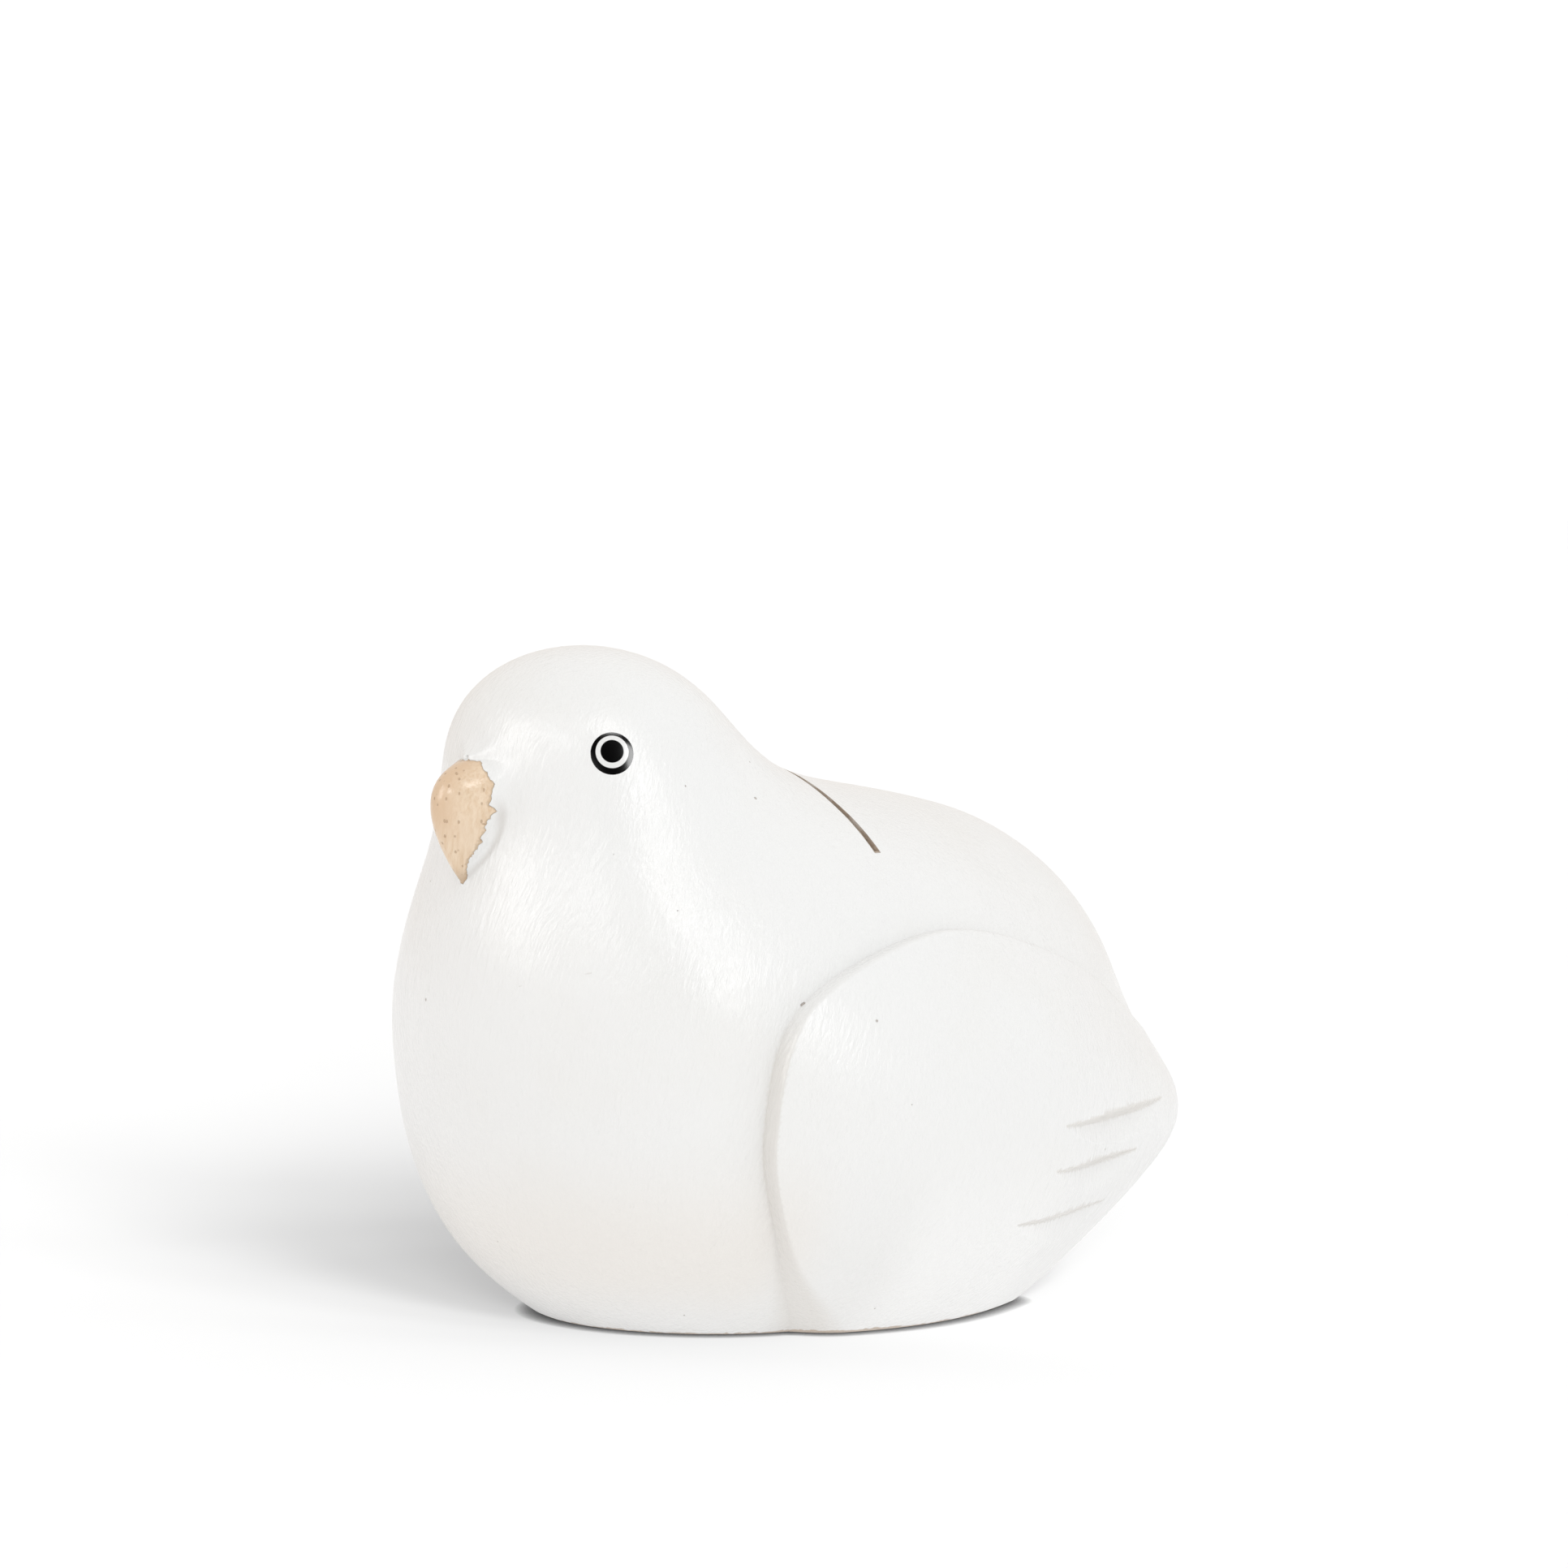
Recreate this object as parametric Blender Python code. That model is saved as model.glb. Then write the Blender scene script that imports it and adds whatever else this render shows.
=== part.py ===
"""A small pigeon carved from one block of wood, with a flat sawn underside.

Metres, +Z up. The beak points towards -Y, the bird's left side faces +X, and both sides are alike.
The origin is on the floor, under the middle of the bird. In the names below, forward is -Y, side is
the distance from the plane of symmetry, and up is +Z.

The form is a smooth union of egg-shaped masses and a beak. Its surface is found along rays from the
bird's core. The wings and the feather cuts are then carved into it, the underside is cut flat, and a
kerf that holds a card is sawn across the back.
"""

import math
from typing import NamedTuple

import bmesh
import bpy
import numpy as np

MM = 0.001


class Mass(NamedTuple):
    """An egg-shaped mass on the plane of symmetry, in metres and degrees."""

    forward: float
    up: float
    half_length: float
    half_width: float
    half_height: float
    nose_up: float


class FeatherCut(NamedTuple):
    """A nearly level cut on the wing, seen from the side, with the height of its front end."""

    up: float
    front_end: float
    rear_end: float


# The figure's length over beak and tail, which all of its proportions are shares of
LENGTH = 100.0 * MM

# The masses of the figure: centre forward and up, half length, width and height, nose-up angle
BREAST = Mass(0.03 * LENGTH, 0.235 * LENGTH, 0.42 * LENGTH, 0.385 * LENGTH, 0.31 * LENGTH, 0.0)
BACK = Mass(-0.16 * LENGTH, 0.265 * LENGTH, 0.32 * LENGTH, 0.195 * LENGTH, 0.295 * LENGTH, 14.0)
TAIL = Mass(-0.285 * LENGTH, 0.19 * LENGTH, 0.225 * LENGTH, 0.255 * LENGTH, 0.092 * LENGTH, -6.0)
NECK = Mass(0.125 * LENGTH, 0.36 * LENGTH, 0.355 * LENGTH, 0.315 * LENGTH, 0.25 * LENGTH, 6.0)
HEAD = Mass(0.3 * LENGTH, 0.66 * LENGTH, 0.117 * LENGTH, 0.13 * LENGTH, 0.09 * LENGTH, 0.0)

# How softly the masses run into each other
BACK_BLEND = 0.13 * LENGTH
TAIL_BLEND = 0.1 * LENGTH
HEAD_BLEND = 0.24 * LENGTH
NECK_BLEND = 0.088 * LENGTH

# The slanted cut under the tail
UNDERCUT_FOOT = -0.215 * LENGTH
UNDERCUT_ANGLE = 42.5
UNDERCUT_BLEND = 0.025 * LENGTH

# The beak, a drop shape that hangs on the face with its tip on the breast
BEAK_TOP_UP = 0.637 * LENGTH
BEAK_TIP_UP = 0.5 * LENGTH
BEAK_TOP_ROOT = 0.438 * LENGTH
BEAK_TIP_ROOT = 0.458 * LENGTH
BEAK_HALF_WIDTH = 0.046 * LENGTH
BEAK_REACH = 0.053 * LENGTH
BEAK_EMBEDDED = 0.06 * LENGTH
BEAK_FULLNESS = 0.8
BEAK_BULGE = 0.6
BEAK_BROW_BLEND = 0.03 * LENGTH
BEAK_CREASE_BLEND = 0.006 * LENGTH

# The wing's outline from its foot over the shoulder to the tail, seen from the side: forward, up
WING_OUTLINE = (
    (0.156 * LENGTH, -0.015 * LENGTH),
    (0.242 * LENGTH, 0.092 * LENGTH),
    (0.285 * LENGTH, 0.23 * LENGTH),
    (0.235 * LENGTH, 0.38 * LENGTH),
    (0.04 * LENGTH, 0.453 * LENGTH),
    (-0.18 * LENGTH, 0.412 * LENGTH),
    (-0.4 * LENGTH, 0.314 * LENGTH),
    (-0.56 * LENGTH, 0.245 * LENGTH),
)
WING_FRONT_DEPTH = 1.9 * MM
WING_REAR_DEPTH = 0.5 * MM
WING_FRONT_EDGE = 1.0 * MM
WING_REAR_EDGE = 0.6 * MM
WING_EDGE_ROUNDING = 0.15
WING_SCOOP = 0.12 * LENGTH
WING_FOOT_DEPTH = 0.8 * MM
WING_FOOT_FLARE = 3.6 * MM
WING_FOOT_SOFTNESS = 0.8
WING_FOOT_HEIGHT = 0.15 * LENGTH
LEVEL_CARVING_HEIGHT = 0.2 * LENGTH

# The three feather cuts near the wing's tip: up, front end, rear end
FEATHER_CUTS = (
    FeatherCut(0.225 * LENGTH, -0.098 * LENGTH, -0.36 * LENGTH),
    FeatherCut(0.174 * LENGTH, -0.09 * LENGTH, -0.288 * LENGTH),
    FeatherCut(0.118 * LENGTH, -0.04 * LENGTH, -0.243 * LENGTH),
)
CUT_DEPTH = 0.9 * MM
CUT_RISE = 0.004 * LENGTH
CUT_SAG = 0.009 * LENGTH
CUT_STEEP_SIDE = 1.0 * MM
CUT_SOFT_SIDE = 0.027 * LENGTH
CUT_LEAN = 1.1
CUT_FULLNESS = 0.8

# The sawn kerf across the back
KERF_FORWARD = 0.06 * LENGTH
KERF_WIDTH = 0.9 * MM
KERF_FLOOR_UP = 0.53 * LENGTH

# The point inside the bird from which all of its surface can be seen, and the facets' sizes
CORE_FORWARD = 0.04 * LENGTH
CORE_UP = 0.34 * LENGTH
FARTHEST = 0.8 * LENGTH
FACET_PLAIN = 0.044 * LENGTH
FACET_FINE = 0.011 * LENGTH
FACET_GROWTH = 0.7
FACET_SPLIT = 1.35
FINE_BAND = 0.8 * MM
WING_EDGE_ROWS = (0.0, 1.0)
SNAP_SHARE = 0.25
FLOOR_SNAP = 0.04 * MM

PAINT_COLOUR = (0.88, 0.87, 0.84, 1.0)
PAINT_ROUGHNESS = 0.38


def smooth_step(value):
    """0 below 0, 1 above 1, and a soft rise between."""
    t = np.clip(value, 0.0, 1.0)
    return t * t * (3.0 - 2.0 * t)


def smooth_union(first, second, blend):
    """The union of two fields, filleted over a width of blend."""
    share = np.clip(0.5 + 0.5 * (second - first) / blend, 0.0, 1.0)
    return second * (1.0 - share) + first * share - blend * share * (1.0 - share)


def mass_field(mass, forward, side, up):
    """About the distance to the mass's surface, negative inside."""
    angle = math.radians(mass.nose_up)
    along = (forward - mass.forward) * math.cos(angle) + (up - mass.up) * math.sin(angle)
    above = (up - mass.up) * math.cos(angle) - (forward - mass.forward) * math.sin(angle)
    halves = (mass.half_length, mass.half_width, mass.half_height)
    near = sum((value / half) ** 2 for value, half in zip((along, side, above), halves))
    slope = sum((value / half**2) ** 2 for value, half in zip((along, side, above), halves))
    level = np.sqrt(near)
    return level * (level - 1.0) / np.sqrt(slope + 1e-12)


def beak_field(forward, side, up):
    """The beak: drop-shaped from the front, with parabolic sections that narrow to the tip."""
    drop = np.clip((BEAK_TOP_UP - up) / (BEAK_TOP_UP - BEAK_TIP_UP), 1e-4, 1.0 - 1e-4)
    swell = np.sin(np.pi * drop**BEAK_BULGE) ** BEAK_FULLNESS
    half_width = BEAK_HALF_WIDTH * swell
    reach = BEAK_REACH * swell
    root = BEAK_TOP_ROOT + (BEAK_TIP_ROOT - BEAK_TOP_ROOT) * drop
    level = (forward - root) / reach + (side / half_width) ** 2 - 1.0
    slope = np.sqrt(reach**-2.0 + (2.0 * side / half_width**2) ** 2)
    ends = np.maximum(up - BEAK_TOP_UP, BEAK_TIP_UP - up)
    behind = BEAK_TOP_ROOT - BEAK_EMBEDDED - forward
    return np.maximum(level / slope, np.maximum(ends, behind))


def bird_field(points):
    """About the distance from each point to the uncarved bird, negative inside."""
    forward, side, up = -points[:, 1], np.abs(points[:, 0]), points[:, 2]
    body = mass_field(BREAST, forward, side, up)
    body = smooth_union(body, mass_field(BACK, forward, side, up), BACK_BLEND)
    body = smooth_union(body, mass_field(TAIL, forward, side, up), TAIL_BLEND)
    head = mass_field(HEAD, forward, side, up)
    head = smooth_union(head, mass_field(NECK, forward, side, up), HEAD_BLEND)
    bird = smooth_union(body, head, NECK_BLEND)
    angle = math.radians(UNDERCUT_ANGLE)
    below_tail = -(forward - UNDERCUT_FOOT) * math.sin(angle) - up * math.cos(angle)
    bird = -smooth_union(-bird, -below_tail, UNDERCUT_BLEND)
    brow = smooth_step((BEAK_TOP_UP - up) / (0.5 * (BEAK_TOP_UP - BEAK_TIP_UP)))
    beak_blend = BEAK_BROW_BLEND + (BEAK_CREASE_BLEND - BEAK_BROW_BLEND) * brow
    return smooth_union(bird, beak_field(forward, side, up), beak_blend)


def normals(points):
    """The outward directions of the uncarved bird's surface."""
    step = 0.02 * MM
    slopes = [
        bird_field(points + step * axis) - bird_field(points - step * axis)
        for axis in np.eye(3)
    ]
    out = np.stack(slopes, axis=1)
    return out / np.linalg.norm(out, axis=1)[:, None]


def on_surface(points):
    """Each point moved along its ray from the core to the surface of the uncarved bird."""
    core = np.array((0.0, -CORE_FORWARD, CORE_UP))
    rays = points - core
    rays = rays / np.linalg.norm(rays, axis=1)[:, None]
    inner = np.zeros(len(rays))
    outer = np.full(len(rays), FARTHEST)
    for _ in range(22):
        middle = 0.5 * (inner + outer)
        inside = bird_field(core + rays * middle[:, None]) < 0.0
        inner = np.where(inside, middle, inner)
        outer = np.where(inside, outer, middle)
    return core + rays * inner[:, None]


def curve_through(knots, steps):
    """A smooth curve through the knots, as a row of points."""
    knots = np.array(knots)
    ends = np.vstack((2.0 * knots[0] - knots[1], knots, 2.0 * knots[-1] - knots[-2]))
    t = np.linspace(0.0, 1.0, steps, endpoint=False)[:, None]
    rows = []
    for before, start, end, after in zip(ends, ends[1:], ends[2:], ends[3:]):
        pull_in, pull_out = 0.5 * (end - before), 0.5 * (after - start)
        rows.append(
            start * (1.0 - 3.0 * t**2 + 2.0 * t**3)
            + end * (3.0 * t**2 - 2.0 * t**3)
            + pull_in * (t - 2.0 * t**2 + t**3)
            + pull_out * (t**3 - t**2)
        )
    return np.vstack(rows + [knots[-1:]])


WING_CURVE = curve_through(WING_OUTLINE, 12)


def wing_distance(points):
    """In side view, the way from each point to the wing's outline, and its length, negative on the wing."""
    seen = np.stack((-points[:, 1], points[:, 2]), axis=1)
    best = np.full(len(seen), np.inf)
    way = np.zeros_like(seen)
    sign = np.ones(len(seen))
    for start, end in zip(WING_CURVE, WING_CURVE[1:]):
        run = end - start
        share = np.clip((seen - start) @ run / (run @ run), 0.0, 1.0)
        offset = start + share[:, None] * run - seen
        length = np.hypot(offset[:, 0], offset[:, 1])
        nearer = length < best
        best = np.where(nearer, length, best)
        way[nearer] = offset[nearer]
        turn = run[0] * (seen[:, 1] - start[1]) - run[1] * (seen[:, 0] - start[0])
        sign = np.where(nearer, np.where(turn > 0.0, -1.0, 1.0), sign)
    return way, best * sign


def cut_place(cut, points):
    """Where each point is along a feather cut, from 0 at its front end to 1, how far below it, and the
    share of the cut's full size there, which falls to nothing at both ends."""
    along = (cut.front_end + points[:, 1]) / (cut.front_end - cut.rear_end)
    line = cut.up + CUT_RISE * along - 4.0 * CUT_SAG * along * (1.0 - along)
    share = np.sin(np.pi * np.clip(along, 0.0, 1.0) ** CUT_LEAN) ** CUT_FULLNESS
    return along, line - points[:, 2], share


def wing_front(points):
    """1 at the front of the wing, with a soft fall to 0 at its rear."""
    front, rear = WING_OUTLINE[2][0], WING_OUTLINE[6][0]
    return smooth_step((-points[:, 1] - rear) / (front - rear))


def wing_foot(points):
    """1 at the foot of the wing, with a soft fall to 0 above it."""
    return np.clip(1.0 - points[:, 2] / WING_FOOT_HEIGHT, 0.0, 1.0) ** 2


def wing_edge_width(points):
    """How wide the wall at the wing's edge is in side view, flaring at its foot."""
    width = WING_REAR_EDGE + (WING_FRONT_EDGE - WING_REAR_EDGE) * wing_front(points)
    return width + WING_FOOT_FLARE * wing_foot(points)


def wing_depth(points):
    """How deep the ground is carved away around the wing, and the wall at the wing's own edge."""
    distance = wing_distance(points)[1]
    depth = WING_REAR_DEPTH + (WING_FRONT_DEPTH - WING_REAR_DEPTH) * wing_front(points)
    depth += WING_FOOT_DEPTH * wing_foot(points)
    scoop = np.clip(1.0 - distance / WING_SCOOP, 0.0, 1.0) ** 2
    edge = np.clip(1.0 + distance / wing_edge_width(points), 0.0, 1.0)
    rounding = WING_EDGE_ROUNDING + WING_FOOT_SOFTNESS * wing_foot(points)
    fall = (np.hypot(edge, rounding) - rounding) / (np.hypot(1.0, rounding) - rounding)
    return depth * np.where(distance > 0.0, scoop, fall)


def cuts_depth(points):
    """How deep the feather cuts go: a steep wall above each line, and a gentle facet below it."""
    total = np.zeros(len(points))
    for cut in FEATHER_CUTS:
        along, below, share = cut_place(cut, points)
        rise = np.where(below < 0.0, -below / CUT_STEEP_SIDE, below / CUT_SOFT_SIDE)
        total += CUT_DEPTH * np.clip(share - rise, 0.0, 1.0)
    return total


def facet_size(points):
    """The facets' wanted size: fine along the carving and on the beak, plain elsewhere."""
    width = wing_edge_width(points)
    away = np.abs(wing_distance(points)[1] + 0.5 * width) - 0.5 * width
    for cut in FEATHER_CUTS:
        along, below, share = cut_place(cut, points)
        past_end = np.maximum(np.abs(along - 0.5) - 0.5, 0.0) * (cut.front_end - cut.rear_end)
        away = np.minimum(away, np.hypot(past_end, below))
    beak_middle = np.array((0.0, -BEAK_TOP_ROOT, 0.5 * (BEAK_TOP_UP + BEAK_TIP_UP)))
    beak_size = 0.5 * (BEAK_TOP_UP - BEAK_TIP_UP)
    away = np.minimum(away, np.linalg.norm(points - beak_middle, axis=1) - beak_size)
    return np.clip(FACET_FINE + FACET_GROWTH * (away - FINE_BAND), FACET_FINE, FACET_PLAIN)


def vertex_array(mesh):
    return np.array([vertex.co[:] for vertex in mesh.verts])


def place_vertices(mesh, points):
    for vertex, point in zip(mesh.verts, points):
        vertex.co = point


def refined_sphere():
    """A ball of triangles on the bird's surface, split until each edge is short enough for its place."""
    mesh = bmesh.new()
    bmesh.ops.create_icosphere(mesh, subdivisions=4, radius=10.0 * MM)
    place_vertices(mesh, vertex_array(mesh) + np.array((0.0, -CORE_FORWARD, CORE_UP)))
    for _ in range(6):
        place_vertices(mesh, on_surface(vertex_array(mesh)))
        mesh.edges.ensure_lookup_table()
        middles = np.array([0.5 * (e.verts[0].co + e.verts[1].co) for e in mesh.edges])
        lengths = np.array([e.calc_length() for e in mesh.edges])
        wanted = facet_size(middles)
        long = [edge for edge, is_long in zip(mesh.edges, lengths > FACET_SPLIT * wanted) if is_long]
        if not long:
            break
        bmesh.ops.subdivide_edges(mesh, edges=long, cuts=1, use_grid_fill=True, use_single_edge=True)
        bmesh.ops.triangulate(mesh, faces=mesh.faces[:])
        bmesh.ops.beautify_fill(mesh, faces=mesh.faces[:], edges=mesh.edges[:])
    place_vertices(mesh, on_surface(vertex_array(mesh)))
    return mesh


def carved(points):
    """Points of the uncarved surface moved to the bottom of the carving, level with the floor near it."""
    depth = wing_depth(points) + cuts_depth(points)
    out = normals(points)
    out[:, 2] *= smooth_step(points[:, 2] / LEVEL_CARVING_HEIGHT)
    out /= np.linalg.norm(out, axis=1)[:, None]
    return points - out * depth[:, None]


def crease_levels(points):
    """The crisp lines: for each, a signed distance that is zero on it, and the way to it in side view."""
    way, distance = wing_distance(points)
    levels = []
    for inset in WING_EDGE_ROWS:
        past = distance + inset * wing_edge_width(points)
        share = past / np.where(distance == 0.0, np.inf, distance)
        levels.append((past, way * share[:, None]))
    for cut in FEATHER_CUTS:
        along, below, share = cut_place(cut, points)
        beside = (along < 0.0) | (along > 1.0)
        for rise in (0.0, CUT_STEEP_SIDE, -CUT_SOFT_SIDE):
            past = below + rise * share
            levels.append((np.where(beside, np.nan, past), np.stack((0.0 * past, past), axis=1)))
    height = points[:, 2]
    levels.append((height, np.stack((0.0 * height, -height), axis=1)))
    return levels


def moved_to_line(points, level, rounds):
    """Points slid over the surface on to one of the crisp lines."""
    for _ in range(rounds):
        way = np.nan_to_num(crease_levels(points)[level][1])
        points = on_surface(points + np.stack((0.0 * way[:, 0], -way[:, 0], way[:, 1]), axis=1))
    return points


def cut_along_creases(mesh):
    """Sharp edges laid along every crisp line.

    Vertices near a line slide on to it, unless they already lie on another, and edges that cross it are
    split.
    """
    settled = set()
    for level in range(len(crease_levels(vertex_array(mesh)[:1]))):
        points = vertex_array(mesh)
        value = crease_levels(points)[level][0]
        near = np.abs(value) < SNAP_SHARE * facet_size(points)
        free = near & np.array([vertex not in settled for vertex in mesh.verts])
        points[free] = moved_to_line(points[free], level, 3)
        place_vertices(mesh, points)
        value = np.where(near, 0.0, value)
        mesh.verts.index_update()
        on_line = [vertex for vertex, is_near in zip(mesh.verts, near) if is_near]
        crossing = [
            edge for edge in mesh.edges if value[edge.verts[0].index] * value[edge.verts[1].index] < 0.0
        ]
        added = []
        for edge in crossing:
            first, second = (value[vertex.index] for vertex in edge.verts)
            added.append(bmesh.utils.edge_split(edge, edge.verts[0], first / (first - second))[1])
        places = moved_to_line(np.array([vertex.co[:] for vertex in added]), level, 3)
        for vertex, place in zip(added, places):
            vertex.co = place
        bmesh.ops.connect_verts(mesh, verts=on_line + added)
        bmesh.ops.triangulate(mesh, faces=mesh.faces[:])
        line = set(on_line + added)
        settled |= line
        for edge in mesh.edges:
            if edge.verts[0] in line and edge.verts[1] in line:
                edge.smooth = False


def cut_underside(mesh):
    """The bird cut off flat at the floor, with one flat face and a sharp edge closing it."""
    for vertex in mesh.verts:
        if abs(vertex.co.z) < FLOOR_SNAP:
            vertex.co.z = 0.0
    whole = mesh.verts[:] + mesh.edges[:] + mesh.faces[:]
    bmesh.ops.bisect_plane(
        mesh, geom=whole, dist=0.5 * FLOOR_SNAP, plane_co=(0, 0, 0), plane_no=(0, 0, 1), clear_inner=True
    )
    rim = [edge for edge in mesh.edges if edge.is_boundary]
    for edge in rim:
        edge.smooth = False
    bmesh.ops.edgeloop_fill(mesh, edges=rim)
    bmesh.ops.recalc_face_normals(mesh, faces=mesh.faces[:])


def paint_material():
    material = bpy.data.materials.new("painted_wood")
    material.use_nodes = True
    shader = material.node_tree.nodes["Principled BSDF"]
    shader.inputs["Base Color"].default_value = PAINT_COLOUR
    shader.inputs["Roughness"].default_value = PAINT_ROUGHNESS
    shader.inputs["Metallic"].default_value = 0.0
    material.diffuse_color = PAINT_COLOUR
    return material


def kerf_cutter():
    """A saw blade's cut: straight across the back, with a level floor."""
    mesh = bmesh.new()
    bmesh.ops.create_cube(mesh, size=1.0)
    across = 2.0 * BREAST.half_width
    high = FARTHEST
    bmesh.ops.scale(mesh, vec=(across, KERF_WIDTH, high), verts=mesh.verts[:])
    bmesh.ops.translate(mesh, vec=(0.0, -KERF_FORWARD, KERF_FLOOR_UP + 0.5 * high), verts=mesh.verts[:])
    data = bpy.data.meshes.new("kerf_cutter")
    mesh.to_mesh(data)
    mesh.free()
    cutter = bpy.data.objects.new("kerf_cutter", data)
    cutter.hide_render = True
    cutter.display_type = "WIRE"
    bpy.context.collection.objects.link(cutter)
    return cutter


def make_pigeon():
    mesh = refined_sphere()
    cut_along_creases(mesh)
    place_vertices(mesh, carved(vertex_array(mesh)))
    cut_underside(mesh)
    for face in mesh.faces:
        face.smooth = True
    data = bpy.data.meshes.new("pigeon")
    mesh.to_mesh(data)
    mesh.free()
    data.materials.append(paint_material())
    pigeon = bpy.data.objects.new("pigeon", data)
    bpy.context.collection.objects.link(pigeon)
    kerf = pigeon.modifiers.new("kerf", "BOOLEAN")
    kerf.operation = "DIFFERENCE"
    kerf.object = kerf_cutter()
    return pigeon


for leftover in list(bpy.data.objects):
    bpy.data.objects.remove(leftover, do_unlink=True)
make_pigeon()
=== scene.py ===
"""The looks of a small wooden pigeon, carved from one block and painted white, on a white studio floor.

Metres, +Z up. The beak points towards -Y and the bird's left side faces +X. In the names below, forward is
-Y, side is the distance from the plane of symmetry, and up is +Z.

The painted figure repeats the solid's form from the same named sizes, with facets fine enough for smooth
light, the hand-worked surface and the crisp edges of the carving. Its finish is in the materials: brushed
white paint, the bare wood of the beak, the kerf and the underside, and the painted eyes.
"""

import math
from typing import NamedTuple

import bmesh
import bpy
import numpy as np
from mathutils import Matrix, Vector, noise


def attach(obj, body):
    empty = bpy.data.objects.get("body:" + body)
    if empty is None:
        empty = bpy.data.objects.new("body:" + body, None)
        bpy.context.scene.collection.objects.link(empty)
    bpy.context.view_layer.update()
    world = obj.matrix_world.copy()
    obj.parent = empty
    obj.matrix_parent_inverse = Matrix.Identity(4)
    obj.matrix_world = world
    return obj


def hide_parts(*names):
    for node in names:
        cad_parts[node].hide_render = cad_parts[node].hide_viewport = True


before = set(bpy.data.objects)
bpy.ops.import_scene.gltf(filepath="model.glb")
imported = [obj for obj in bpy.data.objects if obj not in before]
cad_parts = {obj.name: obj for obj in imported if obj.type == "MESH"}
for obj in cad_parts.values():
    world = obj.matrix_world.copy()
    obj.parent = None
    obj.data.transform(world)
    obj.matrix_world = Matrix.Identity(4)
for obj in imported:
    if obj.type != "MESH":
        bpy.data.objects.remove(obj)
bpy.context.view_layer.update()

MM = 0.001

# The figure's length over beak and tail, which all of its proportions are shares of
LENGTH = 100.0 * MM


class Mass(NamedTuple):
    """An egg-shaped mass on the plane of symmetry, in metres and degrees."""

    forward: float
    up: float
    half_length: float
    half_width: float
    half_height: float
    nose_up: float


class FeatherCut(NamedTuple):
    """A nearly level cut on the wing, seen from the side, with the height of its front end."""

    up: float
    front_end: float
    rear_end: float


# The masses of the figure: centre forward and up, half length, width and height, nose-up angle
BREAST = Mass(0.03 * LENGTH, 0.235 * LENGTH, 0.42 * LENGTH, 0.385 * LENGTH, 0.31 * LENGTH, 0.0)
BACK = Mass(-0.16 * LENGTH, 0.265 * LENGTH, 0.32 * LENGTH, 0.195 * LENGTH, 0.295 * LENGTH, 14.0)
TAIL = Mass(-0.285 * LENGTH, 0.19 * LENGTH, 0.225 * LENGTH, 0.255 * LENGTH, 0.092 * LENGTH, -6.0)
NECK = Mass(0.125 * LENGTH, 0.36 * LENGTH, 0.355 * LENGTH, 0.315 * LENGTH, 0.25 * LENGTH, 6.0)
HEAD = Mass(0.3 * LENGTH, 0.66 * LENGTH, 0.117 * LENGTH, 0.13 * LENGTH, 0.09 * LENGTH, 0.0)

# How softly the masses run into each other
BACK_BLEND = 0.13 * LENGTH
TAIL_BLEND = 0.1 * LENGTH
HEAD_BLEND = 0.24 * LENGTH
NECK_BLEND = 0.088 * LENGTH

# The slanted cut under the tail
UNDERCUT_FOOT = -0.215 * LENGTH
UNDERCUT_ANGLE = 42.5
UNDERCUT_BLEND = 0.025 * LENGTH

# The beak, a drop shape that hangs on the face with its tip on the breast
BEAK_TOP_UP = 0.637 * LENGTH
BEAK_TIP_UP = 0.5 * LENGTH
BEAK_TOP_ROOT = 0.438 * LENGTH
BEAK_TIP_ROOT = 0.458 * LENGTH
BEAK_HALF_WIDTH = 0.046 * LENGTH
BEAK_REACH = 0.053 * LENGTH
BEAK_EMBEDDED = 0.06 * LENGTH
BEAK_FULLNESS = 0.8
BEAK_BULGE = 0.6
BEAK_BROW_BLEND = 0.03 * LENGTH
BEAK_CREASE_BLEND = 0.006 * LENGTH

# The wing's outline from its foot over the shoulder to the tail, seen from the side: forward, up
WING_OUTLINE = (
    (0.156 * LENGTH, -0.015 * LENGTH),
    (0.242 * LENGTH, 0.092 * LENGTH),
    (0.285 * LENGTH, 0.23 * LENGTH),
    (0.235 * LENGTH, 0.38 * LENGTH),
    (0.04 * LENGTH, 0.453 * LENGTH),
    (-0.18 * LENGTH, 0.412 * LENGTH),
    (-0.4 * LENGTH, 0.314 * LENGTH),
    (-0.56 * LENGTH, 0.245 * LENGTH),
)
WING_FRONT_DEPTH = 1.9 * MM
WING_REAR_DEPTH = 0.5 * MM
WING_FRONT_EDGE = 1.0 * MM
WING_REAR_EDGE = 0.6 * MM
WING_EDGE_ROUNDING = 0.15
WING_SCOOP = 0.12 * LENGTH
WING_FOOT_DEPTH = 0.8 * MM
WING_FOOT_FLARE = 3.6 * MM
WING_FOOT_SOFTNESS = 0.8
WING_FOOT_HEIGHT = 0.15 * LENGTH
LEVEL_CARVING_HEIGHT = 0.2 * LENGTH

# The three feather cuts near the wing's tip: up, front end, rear end
FEATHER_CUTS = (
    FeatherCut(0.225 * LENGTH, -0.098 * LENGTH, -0.36 * LENGTH),
    FeatherCut(0.174 * LENGTH, -0.09 * LENGTH, -0.288 * LENGTH),
    FeatherCut(0.118 * LENGTH, -0.04 * LENGTH, -0.243 * LENGTH),
)
CUT_DEPTH = 0.9 * MM
CUT_RISE = 0.004 * LENGTH
CUT_SAG = 0.009 * LENGTH
CUT_STEEP_SIDE = 1.0 * MM
CUT_SOFT_SIDE = 0.027 * LENGTH
CUT_LEAN = 1.1
CUT_FULLNESS = 0.8

# The worn edge round the underside
RIM_WEAR = 0.3 * MM
RIM_HEIGHT = 0.4 * MM

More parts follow.
